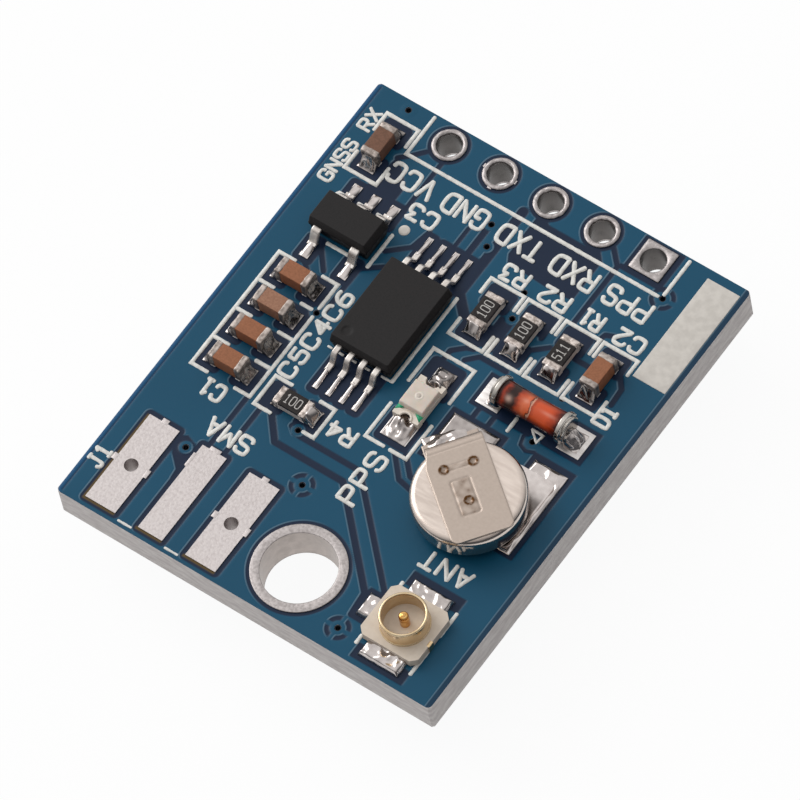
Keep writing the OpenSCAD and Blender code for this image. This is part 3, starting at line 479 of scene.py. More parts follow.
def lathe(profile, centre=(0.0, 0.0), steps=72, closed=False):
    """Surface of turning: points (r, z) become (cx + r cos a, cy + r sin a, z) for angles a all round.

    The profile runs up the outside and down the inside, so the faces point outwards.
    """
    profile = np.array(profile + profile[:1] if closed else profile, float)
    angle = np.linspace(0, 2 * np.pi, steps, endpoint=False)
    r, z = profile[:, :1], profile[:, 1:]
    x = centre[0] + r * np.cos(angle)
    y = centre[1] + r * np.sin(angle)
    points = np.stack([x, y, z + 0 * x], axis=-1).reshape(-1, 3)
    return points, [grid_quads(len(profile), steps, closed=True)]


def arc(centre, radius, start, end, steps=6):
    """Points (r, z) of an arc about a centre in a profile's plane, from one angle in degrees to another."""
    angle = np.radians(np.linspace(start, end, steps))
    return [(centre[0] + radius * c, centre[1] + radius * s) for c, s in zip(np.cos(angle), np.sin(angle))]


def soft_box(low, high, radius, steps=4, spans=6):
    """Box with round edges, and its normals.

    Each point q of the plain box's surface becomes c + r n, where c is q held inside the box shrunk by r and
    n is the direction from c to q.
    """
    low, high = np.array(low, float), np.array(high, float)
    half, centre = (high - low) / 2, (high + low) / 2
    core = half - radius
    marks = [
        np.concatenate(
            [np.linspace(-h, -c, steps), np.linspace(-c, c, spans + 1)[1:-1], np.linspace(c, h, steps)]
        )
        for h, c in zip(half, core)
    ]
    parts = []
    for axis in range(3):
        i, j = (axis + 1) % 3, (axis + 2) % 3
        u, v = np.meshgrid(marks[i], marks[j])
        for side in (-1, 1):
            q = np.zeros(u.shape + (3,))
            q[..., i], q[..., j], q[..., axis] = u, v, side * half[axis]
            quads = grid_quads(*u.shape)
            parts.append((q.reshape(-1, 3), [quads if side > 0 else quads[:, ::-1]]))
    q, blocks = joined(parts)
    inner = np.clip(q, -core, core)
    normal = unit(q - inner)
    return inner + radius * normal + centre, blocks, normal


def lumpy_box(low, high, radius, lump, size, seed):
    """Round-edged box whose surface swells and sinks along its normals with ripples."""
    points, blocks, normal = soft_box(low, high, radius)
    return points + normal * (lump * ripple(points, size, seed))[:, None], blocks


def round_outline(half, radius, count):
    """Rounded rectangle, anticlockwise: four quarter circles at the corners, spaced evenly by length."""
    quarter = np.linspace(0, np.pi / 2, 9)
    angle = np.concatenate([quarter + k * np.pi / 2 for k in range(4)])
    signs = np.repeat(np.array([(1, 1), (-1, 1), (-1, -1), (1, -1)]), 9, axis=0)
    loop = signs * (np.array(half) - radius) + radius * np.stack([np.cos(angle), np.sin(angle)], 1)
    loop = np.vstack([loop, loop[:1]])
    length = np.concatenate([[0], np.cumsum(np.linalg.norm(np.diff(loop, axis=0), axis=1))])
    at = np.linspace(0, length[-1], count, endpoint=False)
    return np.stack([np.interp(at, length, loop[:, k]) for k in range(2)], 1)


def prism(corners, low, high):
    """Upright prism between two levels on an outline that runs anticlockwise."""
    corners = np.array(corners, float)
    count = len(corners)
    points = np.vstack([np.column_stack([corners, np.full(count, z)]) for z in (low, high)])
    ids = np.arange(2 * count).reshape(2, 1, count)
    return points, [grid_quads(2, count, closed=True), ids[0][:, ::-1], ids[1]]


def mound(x, y, z, base):
    """Closed lump: the grid of tops, a rim of the same outline at the base and one face under it."""
    x, y = np.pad(x, 1, mode="edge"), np.pad(y, 1, mode="edge")
    z = np.pad(z, 1, constant_values=base)
    ids = np.arange(x.size).reshape(x.shape)
    rim = np.concatenate([ids[0, :-1], ids[:-1, -1], ids[-1, :0:-1], ids[:0:-1, 0]])
    points = np.stack([x, y, z], axis=-1).reshape(-1, 3)
    return points, [grid_quads(*x.shape), rim[None, ::-1]]


def wrinkle(points, seed, fold):
    """Skin of set solder: soft swells about fold wide, and the creases of a folded wave, 1 - 2 |ripple|."""
    return 0.7 * ripple(points, fold, seed) + 0.6 * (1 - 2 * np.abs(ripple(points, 1.2 * fold, seed + 1)))


def pool(low, high, height, seed, lumps, fall=0.14, fold=0.8):
    """Solder spread over a land: a sheet that rises within fall of its edge to a height, with a
    wrinkled skin.
    """
    x, y = np.meshgrid(
        np.linspace(low[0], high[0], int((high[0] - low[0]) / 0.04)),
        np.linspace(low[1], high[1], int((high[1] - low[1]) / 0.04)),
    )
    edge = np.minimum(np.minimum(x - low[0], high[0] - x), np.minimum(y - low[1], high[1] - y))
    film = smooth(edge, 0, fall)
    skin = height + lumps * wrinkle(np.stack([x, y], axis=-1), seed, fold)
    z = LAND_Z + 0.004 + film * np.maximum(skin, 0.004)
    return mound(x, y, z, LAND_Z - 0.01)


def bent_strip(path, width, thick, centre, out):
    """Metal strip bent along a path of (run, height).

    At each point the section is a rounded rectangle square to the path; run goes along out from the
    centre and the width across it.
    """
    path = cut_corners(path, 3)
    ahead = unit(np.gradient(path, axis=0))
    loop = round_outline((width / 2, thick / 2), 0.035, 32)
    out = np.array(out, float)
    side = np.array([-out[1], out[0]])
    run = path[:, :1] - ahead[:, 1:] * loop[:, 1]
    z = path[:, 1:] + ahead[:, :1] * loop[:, 1]
    flat = np.array(centre) + run[..., None] * out + loop[None, :, :1] * side
    points = np.concatenate([flat, z[..., None]], axis=-1).reshape(-1, 3)
    first = np.arange(len(loop))
    last = first + len(points) - len(loop)
    return points, [grid_quads(len(path), len(loop), closed=True), first[None, ::-1], last[None]]


def joint(foot, out, length, width, height, seed, lumps, power=1.5, back=0.05, round_end=0.6, side=4,
          fold=0.8):
    """Solder at the foot of a terminal: s runs out from the wall and t across it.

    The top is height (1 - s / length)^power, narrows towards the toe and at the sides as
    1 - |t / half|^side, and carries ripples of solder.
    """
    s, t = np.meshgrid(np.linspace(-back, length, 26), np.linspace(-width / 2, width / 2, 22))
    run = np.clip(s / length, 0, 1)
    half = width / 2 * (1 - 0.25 * round_end * run**3)
    body = (1 - run) ** power * (1 - np.clip(np.abs(t) / half, 0, 1) ** side)
    out = np.array(out, float) / np.linalg.norm(out)
    x = foot[0] + s * out[0] - t * out[1]
    y = foot[1] + s * out[1] + t * out[0]
    wave = wrinkle(np.stack([x, y], axis=-1), seed, fold)
    film = smooth(1 - np.maximum(run, np.abs(t) / half), 0, 0.25)
    z = LAND_Z + 0.012 * film + height * body + lumps * wave * film * (0.35 + body)
    return mound(x, y, np.maximum(z, LAND_Z - 0.004), LAND_Z - 0.01)


def even_path(points, step):
    """Points at even steps along each straight piece of a path, with its corners kept."""
    points = np.array(points, float)
    pieces = [
        np.linspace(a, b, max(2, int(np.ceil(np.linalg.norm(b - a) / step)) + 1))[:-1]
        for a, b in zip(points[:-1], points[1:])
    ]
    return np.vstack(pieces + [points[-1:]])


def cut_corners(points, passes=2):
    """Rounds a path: each pass keeps its ends and puts points a quarter from both ends of each piece."""
    points = np.array(points, float)
    for _ in range(passes):
        a, b = points[:-1], points[1:]
        cut = np.stack([0.75 * a + 0.25 * b, 0.25 * a + 0.75 * b], 1).reshape(-1, 2)
        points = np.vstack([points[:1], cut[1:-1], points[-1:]])
    return points


def stroke(path, width, low, high, seed, rough=0.07):
    """Line of ink carried along a path: a low arch from side to side, with blunt round ends.

    The half width is width / 2, opened at a corner so that the sides stay parallel and wandering by rough.
    """
    centre = even_path(path, 0.11)
    ahead = unit(np.diff(centre, axis=0))
    before, after = np.vstack([ahead[:1], ahead]), np.vstack([ahead, ahead[-1:]])
    mean = unit(before + after)
    half = width / 2 / np.maximum(np.sum(mean * after, axis=1), 0.6)
    half *= 1 + rough * ripple(centre, 0.3, seed)
    ends = np.radians([88, 62, 32])
    first = centre[0] - mean[0] * (0.55 * half[0] * np.sin(ends))[:, None]
    last = centre[-1] + mean[-1] * (0.55 * half[-1] * np.sin(ends[::-1]))[:, None]
    centre = np.vstack([first, centre, last])
    mean = np.vstack([np.repeat(mean[:1], 3, 0), mean, np.repeat(mean[-1:], 3, 0)])
    half = np.concatenate([half[0] * np.cos(ends), half, half[-1] * np.cos(ends[::-1])])
    across = np.array([1, 0.86, 0, -0.86, -1])
    rise = np.array([0, 0.93, 1, 0.93, 0])
    side = np.stack([-mean[:, 1], mean[:, 0]], 1)
    flat = centre[:, None] + side[:, None] * (half[:, None] * across)[..., None]
    z = np.broadcast_to(low + (high - low) * rise, flat.shape[:2])
    points = np.concatenate([flat, z[..., None]], axis=-1).reshape(-1, 3)
    return points, [grid_quads(len(centre), len(across))]


def letter_strokes(words, box, turn):
    """Paths of a line of letters fitted to a box, with its baseline turned by whole right angles."""
    width = LETTER_STEP * (len(words) - 1) + LETTER_W
    x0, y0, x1, y1 = box
    paths = []
    for place, letter in enumerate(words):
        for text in LETTERS[letter]:
            path = np.array([[float(n) for n in pair.split(",")] for pair in text.strip("~").split()])
            path = cut_corners(path) if text.startswith("~") else path
            u = (path[:, 0] + place * LETTER_STEP) / width
            v = path[:, 1] / LETTER_H
            if turn == 180:
                u, v = 1 - u, 1 - v
            elif turn == 90:
                u, v = 1 - v, u
            paths.append(np.stack([x0 + u * (x1 - x0), y0 + v * (y1 - y0)], 1))
    return paths


def run_distance(x, y, path):
    """Distance from each point to the nearest of a path's straight pieces."""
    best = np.full(x.shape, np.inf)
    for (ax, ay), (bx, by) in zip(path, path[1:]):
        dx, dy = bx - ax, by - ay
        along = np.clip(((x - ax) * dx + (y - ay) * dy) / (dx * dx + dy * dy), 0, 1)
        best = np.minimum(best, np.hypot(x - ax - along * dx, y - ay - along * dy))
    return best


def area_distance(x, y, corners):
    """Distance to a closed outline, negative inside it.

    A point is inside where a ray to the right crosses the outline an odd number of times.
    """
    loop = tuple(corners) + tuple(corners[:1])
    inside = np.zeros(x.shape, bool)
    for (ax, ay), (bx, by) in zip(loop, loop[1:]):
        if ay != by:
            inside ^= ((ay > y) != (by > y)) & (x < ax + (y - ay) * (bx - ax) / (by - ay))
    edge = run_distance(x, y, loop)
    return np.where(inside, -edge, edge)


def rectangle(low, high):
    """Corners of an upright rectangle, anticlockwise."""
    return ((low[0], low[1]), (high[0], low[1]), (high[0], high[1]), (low[0], high[1]))


def chip_ends(node):
    """Middle of each end face of a chip, and the way that it faces."""
    low, high = box_mm(node + "_ends")
    axis = int(np.argmax((high - low)[:2]))
    ends = []
    for side, corner in ((-1, low), (1, high)):
        foot, out = (low + high)[:2] / 2, np.zeros(2)
        foot[axis], out[axis] = corner[axis], side
        ends.append((foot, out))
    return ends


def lead_places(node, pitch, counts):
    """Toe of each lead of a package on the sides +Y and -Y, and the way that it points."""
    low, high = box_mm(node)
    x = (low[0] + high[0]) / 2
    places = []
    for side, y, count in ((1, high[1], counts[0]), (-1, low[1], counts[1])):
        step = pitch * (counts[0] - 1) / (count - 1)
        places += [((x + (i - (count - 1) / 2) * step, y), (0, side)) for i in range(count)]
    return places


def full_end(chip, out):
    """Whether a chip's end has full, bright solder: the front or left one, but the lone resistor's right;
    the other end's solder takes painted shade.
    """
    return (out.sum() > 0) == (chip == "resistor_4")


def chip_lands(toe, thin_toe, side):
    """Rectangles at the chips' ends that reach past the sides by a margin and past the end by a toe.

    Resistors take the thin toe at the end where their solder doesn't stand full.
    """
    boxes = []
    for chip in CAPACITORS + RESISTORS:
        low, high = box_mm(chip + "_ends")
        half = (high[:2] - low[:2]) / 2 + side
        for foot, out in chip_ends(chip):
            reach = toe if chip in CAPACITORS or full_end(chip, out) else thin_toe
            inner, outer = foot - out * CHIP_END, foot + out * reach
            span = half * (1 - np.abs(out))
            boxes.append(rectangle(np.minimum(inner, outer) - span, np.maximum(inner, outer) + span))
    return boxes


def lamp_lands(front_toe, back_toe, trim):
    """Rectangles at the lamp's ends, with a trim taken from the back one's sides."""
    low, high = box_mm("led_ends")
    return [
        rectangle((low[0], low[1] - front_toe), (high[0], low[1] + CHIP_END)),
        rectangle((low[0] + 1.4 * trim, high[1] - CHIP_END), (high[0] - 0.6 * trim, high[1] + back_toe)),
    ]


def lead_lands(node, pitch, counts, toe, width, back):
    """Rectangles under the feet of a package's leads, from back behind the toe to the end of its land."""
    boxes = []
    for (x, y), (_, side) in lead_places(node, pitch, counts):
        near, far = y - side * back, y + side * toe
        boxes.append(rectangle((x - width / 2, min(near, far)), (x + width / 2, max(near, far))))
    return boxes


def open_lands():
    """The parts of the lands that the mask leaves open, as corners of rectangles."""
    boxes = chip_lands(0.32, 0.12, 0.0) + lamp_lands(0.92, 0.76, 0.2)
    boxes += lead_lands("memory_leads", MEMORY_PITCH, (4, 4), MEMORY_TOE - 0.04, 0.2, 0.4)
    boxes += lead_lands("regulator_leads", REGULATOR_PITCH, (3, 2), REGULATOR_TOE - 0.04, 0.36, 0.3)
    low, high = box_mm("diode_caps")
    for near, far in ((low[0] + 0.35, low[0] - DIODE_TOE), (high[0] - 0.35, high[0] + DIODE_TOE)):
        boxes.append(rectangle((min(near, far), low[1] + 0.05), (max(near, far), high[1] - 0.05)))
    for at, half in CELL_LANDS + SOCKET_LANDS:
        boxes.append(rectangle(np.array(at) - half, np.array(at) + half))
    return boxes


def land_boxes():
    """Lands that the copper keeps clear of, as corners of rectangles."""
    boxes = chip_lands(CHIP_TOE, CHIP_TOE, LAND_SIDE) + lamp_lands(LAMP_TOE, LAMP_TOE, 0.0)
    boxes += lead_lands("regulator_leads", REGULATOR_PITCH, (3, 2), REGULATOR_TOE, 0.52, 0.4)
    boxes += lead_lands("memory_leads", MEMORY_PITCH, (4, 4), MEMORY_TOE, MEMORY_LEAD_W, 0.9)
    return boxes + [rectangle(*box_mm(pad)) for pad in EDGE_PADS]


def gap_distance(x, y):
    """Distance to the nearest bare gap in the top copper, negative inside: the least over all its shapes."""
    found = [run_distance(x, y, path) - width / 2 for width, path in GAP_RUNS]
    found += [area_distance(x, y, corners) for corners in GAP_AREAS]
    found += [area_distance(x, y, corners) - LAND_CLEAR for corners in land_boxes()]
    for pad in HEADER_PADS[:4]:
        cx, cy, _ = middle(pad)
        found.append(np.hypot(x - cx, y - cy) - HEADER_CLEAR_R)
    cx, cy, _ = middle("mounting_ring")
    found.append(np.hypot(x - cx, y - cy) - MOUNT_CLEAR_R)
    radius, half_gap, half_bridge = RELIEF_RING
    for cx, cy in RELIEVED_VIAS:
        ring = np.abs(np.hypot(x - cx, y - cy) - radius) - half_gap
        bridge = half_bridge - np.minimum(np.abs(x - cx), np.abs(y - cy))
        found.append(np.maximum(ring, bridge))
    found.append(np.maximum(BORDER_RIGHT - x, -0.004))
    found = np.min(found, axis=0)
    for cx, cy in VIAS:
        found = np.maximum(found, VIA_COPPER_R - np.hypot(x - cx, y - cy))
    return found


def board_grid(step):
    """Even grid over the board's face; the corner squares are drawn in to the board's round corners."""
    (x0, y0), (x1, y1) = BOARD_LOW[:2], BOARD_HIGH[:2]
    columns, rows = [int(round(side / step)) + 1 for side in (x1 - x0, y1 - y0)]
    x, y = np.meshgrid(np.linspace(x0, x1, columns), np.linspace(y0, y1, rows))
    dx = np.abs(x) - (x1 - CORNER_R)
    dy = np.abs(y) - (y1 - CORNER_R)
    corner = (dx > 0) & (dy > 0)
    shrink = np.where(corner, np.maximum(dx, dy) / np.maximum(np.hypot(dx, dy), 1e-9), 1)
    edge = np.minimum(x1 - np.abs(x), y1 - np.abs(y))
    x = np.where(corner, np.sign(x) * (x1 - CORNER_R + dx * shrink), x)
    y = np.where(corner, np.sign(y) * (y1 - CORNER_R + dy * shrink), y)
    return x, y, edge


def punched(x, y, quads, holes):
    """Drops the faces whose middles lie in a round hole, and draws the points on its edge to the circle."""
    keep = np.ones(len(quads), bool)
    for cx, cy, r in holes:
        far = np.hypot(x - cx, y - cy)
        out = np.hypot(x[quads].mean(1) - cx, y[quads].mean(1) - cy) < r
        keep &= ~out
        edge = np.intersect1d(quads[out], quads[~out])
        x[edge] = cx + (x[edge] - cx) * r / far[edge]
        y[edge] = cy + (y[edge] - cy) * r / far[edge]
    return quads[keep]


def board_holes():
    """Holes through the mask: wider than the bores under a pad, and as wide as the via where it is open."""
    holes = [(*middle(pad)[:2], HEADER_HOLE_R + 0.12) for pad in HEADER_PADS]
    holes.append((*middle("mounting_ring")[:2], MOUNT_HOLE_R + 0.2))
    holes += [(middle(pad)[0], EDGE_HOLE_Y, 0.42) for pad in (EDGE_PADS[0], EDGE_PADS[2])]
    return holes + [(cx, cy, VIA_R) for cx, cy in VIAS]


def moulded_body(low, high, draft, dimple=None):
    """Moulded package: rounded rectangles stacked from the middle of the underside to the middle of the top.

    The sides lean in by draft above and below the parting line, the top edge is a small round, and the
    first-pin dimple is a dish in the top.
    """
    half, centre = (high - low)[:2] / 2, (high + low)[:2] / 2
    bottom, top = low[2], high[2]
    middle_z = (bottom + top) / 2
    edge, count = 0.035, 220
    sides = [(draft, bottom), (0.012, middle_z - 0.07), (0, middle_z - 0.06), (0, middle_z + 0.06)]
    sides += [(0.012, middle_z + 0.07), (draft - 0.004, top - edge)]
    sides += [(draft + edge - r, z) for r, z in arc((0, top - edge), edge, 0, 90, 5)]
    rows = [round_outline(half - draft, 0.05, count) * s for s in (0, 0.6, 0.98)]
    heights = [bottom] * 3
    for inset, z in sides:
        rows.append(round_outline(half - inset, 0.05, count))
        heights.append(z)
    for s in np.concatenate([[0.985], np.linspace(0.96, 0, 46)]):
        rows.append(round_outline(half - draft - edge, 0.05, count) * s)
        heights.append(top)
    flat = np.array(rows) + centre
    z = np.repeat(np.array(heights)[:, None], count, 1)
    if dimple:
        far = np.hypot(flat[..., 0] - dimple[0], flat[..., 1] - dimple[1])
        z = np.where(z > top - 1e-6, z - 0.035 * smooth(dimple[2] - far, 0, 0.09), z)
    points = np.concatenate([flat, z[..., None]], axis=-1).reshape(-1, 3)
    return points, [grid_quads(len(rows), count, closed=True)]


# Finishes


def add(tree, kind, inputs=None, **settings):
    """Adds one node with its settings; inputs are values or links, by the socket's name or number."""
    made = tree.nodes.new(kind)
    for key, value in settings.items():
        setattr(made, key, value)
    for key, value in (inputs or {}).items():
        if isinstance(value, bpy.types.NodeSocket):
            tree.links.new(value, made.inputs[key])
        else:
            made.inputs[key].default_value = value
    return made


def rgba(colour):
    """Linear colour with full cover, from a hex value or three numbers."""
    return (*(linear(colour) if isinstance(colour, str) else colour), 1.0)


def new_finish(name):
    """Tree of a new material, its Principled shader and the object's own coordinates."""
    finish = bpy.data.materials.new(name)
    finish.use_nodes = True
    tree = finish.node_tree
    tree.nodes.clear()
    shader = add(tree, "ShaderNodeBsdfPrincipled")
    add(tree, "ShaderNodeOutputMaterial", {"Surface": shader.outputs[0]})
    return tree, shader, add(tree, "ShaderNodeTexCoord").outputs["Object"]


def grained(name, dark, light, grain, rough, bump=0.0, stretch=(1, 1, 1), **sockets):
    """Finish whose colour and roughness wander together with a noise of one grain size, in millimetres.

    Colour and roughness go from their first to their second value where the noise goes from 0.35 to 0.65,
    and the same noise stands out by bump, in millimetres. Sockets are even values, with _ for the spaces
    in their names.
    """
    tree, shader, place = new_finish(name)
    place = add(tree, "ShaderNodeMapping", {"Vector": place, "Scale": stretch}).outputs[0]
    grit = {"Vector": place, "Scale": 1 / (grain * MM), "Detail": 4.0}
    noise = add(tree, "ShaderNodeTexNoise", grit).outputs[0]
    tone = add(tree, "ShaderNodeMapRange", {"Value": noise, "From Min": 0.35, "From Max": 0.65}).outputs[0]
    colour = add(tree, "ShaderNodeMix", {0: tone, 6: rgba(dark), 7: rgba(light)}, data_type="RGBA").outputs[2]
    tree.links.new(colour, shader.inputs["Base Color"])
    spread = {"Value": tone, "To Min": rough[0], "To Max": rough[1]}
    gloss = add(tree, "ShaderNodeMapRange", spread).outputs[0]
    tree.links.new(gloss, shader.inputs["Roughness"])
    if bump:
        relief = add(tree, "ShaderNodeBump", {"Height": noise, "Strength": 1.0, "Distance": bump * MM})
        tree.links.new(relief.outputs[0], shader.inputs["Normal"])
    for socket, value in sockets.items():
        shader.inputs[socket.replace("_", " ")].default_value = value


def make_finishes():
    """Every plain finish of the board, by the record's material slots and a few marks."""
    # routed glass epoxy: pale grey, softly mottled by its glass layers
    grained("glass_epoxy_routed", "#bfb8b6", "#d8d3d0", 0.35, (0.55, 0.75), 0.008, (0.5, 0.5, 1.7),
            Specular_IOR_Level=0.25)
    # hot-air levelled tin: flat satin silver with a fine frosted grain
    grained("tin_levelled", "#b9b1af", "#cac3c1", 0.12, (0.42, 0.55), 0.009, Metallic=1.0)
    # the same tin on the rings round the holes, a little greyer
    grained("tin_ring", "#9f9896", "#bbb4b2", 0.12, (0.36, 0.5), 0.008, Metallic=1.0)
    # inside of a plated hole: the same tin, dulled by what the light can't reach
    grained("tin_barrel", "#4b4846", "#625e5c", 0.5, (0.26, 0.4), 0.003, Metallic=1.0)
    grained("tin_bore", "#aaa09a", "#c2b8b2", 0.4, (0.34, 0.46), 0.004, Metallic=0.7)
    # inside of a via: nearly black blue, the painted shade of a deep hole
    grained("via_ink", "#070a12", "#10162a", 0.1, (0.4, 0.6))
    # reflowed solder: mirror bright, set in broad wrinkles
    grained("solder_reflowed", "#b5b1ae", "#dedbd8", 0.3, (0.1, 0.24), 0.006, Metallic=1.0)
    # tin on bent copper leads: smooth, soft and pinkish white
    grained("lead_tin", "#cfc6bf", "#ebe4dd", 0.4, (0.24, 0.36), Metallic=0.75)
    # tin that lies thin and flat on a land: nearly white, drawn out in streaks
    grained("tin_flat", "#c9c3c0", "#e9e5e2", 0.5, (0.3, 0.42), 0.003, (0.4, 2.2, 1), Metallic=0.9)
    # fired ceramic: even satin, with a fine powdery grain
    grained("ceramic_brown", "#8d5a3d", "#9d6648", 0.09, (0.45, 0.6), 0.003, Specular_IOR_Level=0.25)
    grained("ceramic_dark", "#6a4a39", "#7b5745", 0.09, (0.45, 0.6), 0.003, Specular_IOR_Level=0.25)
    grained("ceramic_tan", "#906650", "#a1765e", 0.09, (0.45, 0.6), 0.003, Specular_IOR_Level=0.25)
    # tin over fired silver on a chip's end: dull, pinkish grey, with small pits
    grained("terminal_tin", "#8a7f78", "#b6aba4", 0.16, (0.34, 0.5), 0.006, Metallic=0.9)
    grained("terminal_bright", "#978b84", "#d3c8c1", 0.14, (0.26, 0.42), 0.012, Metallic=0.95)
    # drawn steel caps of the diode
    grained("cap_steel", "#a29c95", "#cbc5be", 0.5, (0.12, 0.22), 0.001, Metallic=1.0)
    # sides of the resistors: bare alumina, below the cover glaze that has run down them
    grained("alumina", "#c6bab2", "#dacfc7", 0.2, (0.5, 0.65), 0.003, Specular_IOR_Level=0.25)
    # resistor cover glaze: near black, half gloss
    grained("cover_glaze", "#1f1b1a", "#2d2827", 0.14, (0.32, 0.46), 0.004, Specular_IOR_Level=0.2)
    # white lamp laminate: smooth and matt
    grained("lamp_laminate", "#ddd2c4", "#e8ddd0", 0.12, (0.5, 0.65), 0.002)
    # milky epoxy of the lamp: light sinks in a little
    grained("lamp_epoxy", "#d2c5b8", "#dccfc3", 0.6, (0.3, 0.4), 0.001, Specular_IOR_Level=0.3,
            Subsurface_Weight=0.25, Subsurface_Scale=0.25 * MM)
    # die and its bonding cup, faint through the epoxy
    grained("lamp_cup", "#e2d6c8", "#e8ddd1", 0.1, (0.35, 0.45))
    grained("lamp_die", "#b9ada1", "#c5b9ad", 0.1, (0.35, 0.45))
    # green ink of the lamp's cathode mark
    grained("lamp_green", "#149066", "#22ad7c", 0.08, (0.4, 0.55))
    # thin gold over nickel: pale, soft gloss
    grained("gold_flash", "#d7bb92", "#e9d4b1", 0.6, (0.14, 0.22), Metallic=1.0)
    # thicker gold of the socket's pin: deep and orange
    grained("gold_pin", "#c98f45", "#e4b673", 0.2, (0.12, 0.22), 0.002, Metallic=1.0)
    # oxidised copper of the diode's slugs
    grained("copper_oxide", "#a82d10", "#d8481d", 0.3, (0.3, 0.45), 0.004, Metallic=0.25)
    # nickel-plated steel of the cell: pale, warm and satin, faintly brushed
    grained("nickel_satin", "#cbbdb3", "#d8cbc1", 0.5, (0.3, 0.42), 0.0006, (0.5, 3, 1), Metallic=1.0)
    # the same nickel where it is drawn bright: the can's side
    grained("nickel_bright", "#c2b7af", "#d3c9c1", 0.6, (0.1, 0.2), 0.001, Metallic=1.0)
    # moulded polypropylene seal: grey and matt
    grained("seal_grey", "#5f5c58", "#75726d", 0.1, (0.5, 0.65))
    # liquid-crystal polymer of the socket: cream, moulded satin
    grained("socket_cream", "#d3c5b5", "#d9ccbd", 0.3, (0.45, 0.58), 0.001, Specular_IOR_Level=0.3)
    # moulded black epoxy: matt, with the fine bloom of the mould
    grained("epoxy_black", "#151313", "#221f1f", 0.07, (0.5, 0.66), 0.004, Specular_IOR_Level=0.25)
    # white ink laid on thick for the writing panel, and thin grey ink of the resistors' codes
    grained("print_panel", "#c6c0b8", "#d4cec6", 0.3, (0.55, 0.7), 0.004)
    grained("print_code", "#a5a19d", "#c9c5c0", 0.1, (0.5, 0.65))
    # green mask of the receiver's own laminate
    grained("receiver_green", "#1b4531", "#245a40", 0.4, (0.28, 0.4), 0.002)
    # tin-plated sheet of the shield: rolled, faint streaks along it
    grained("shield_tin", "#b7b4af", "#d0cdc8", 0.3, (0.26, 0.4), 0.003, (0.25, 1.6, 1), Metallic=1.0)
    # clear glass: takes its red from what stands inside it
    grained("glass_clear", "#fff3ea", "#ffffff", 1.0, (0.02, 0.05), Transmission_Weight=1.0, IOR=1.5)


FINISH_OF_SLOT = {
    "board": "glass_epoxy_routed", "tin_plate": "tin_levelled", "solder": "solder_reflowed",
    "capacitor_brown": "ceramic_brown", "capacitor_dark": "ceramic_dark", "capacitor_tan": "ceramic_tan",
    "end_metal": "terminal_tin", "resistor_ceramic": "alumina", "resistor_coat": "cover_glaze",
    "lamp_base": "lamp_laminate", "lamp_lens": "lamp_epoxy", "gold": "gold_flash",
    "diode_glass": "glass_clear", "diode_copper": "copper_oxide", "cell_steel": "nickel_satin",
    "gasket": "seal_grey", "socket_plastic": "socket_cream", "moulding": "epoxy_black",
    "receiver_base": "receiver_green", "shield_steel": "shield_tin",
}
FINISH_OF_NODE = {
    "vias": "via_ink", "led_ends": "lamp_laminate", "mounting_ring": "tin_bore", "coax_pin": "gold_pin",
    **{pad: "tin_barrel" for pad in HEADER_PADS},
}


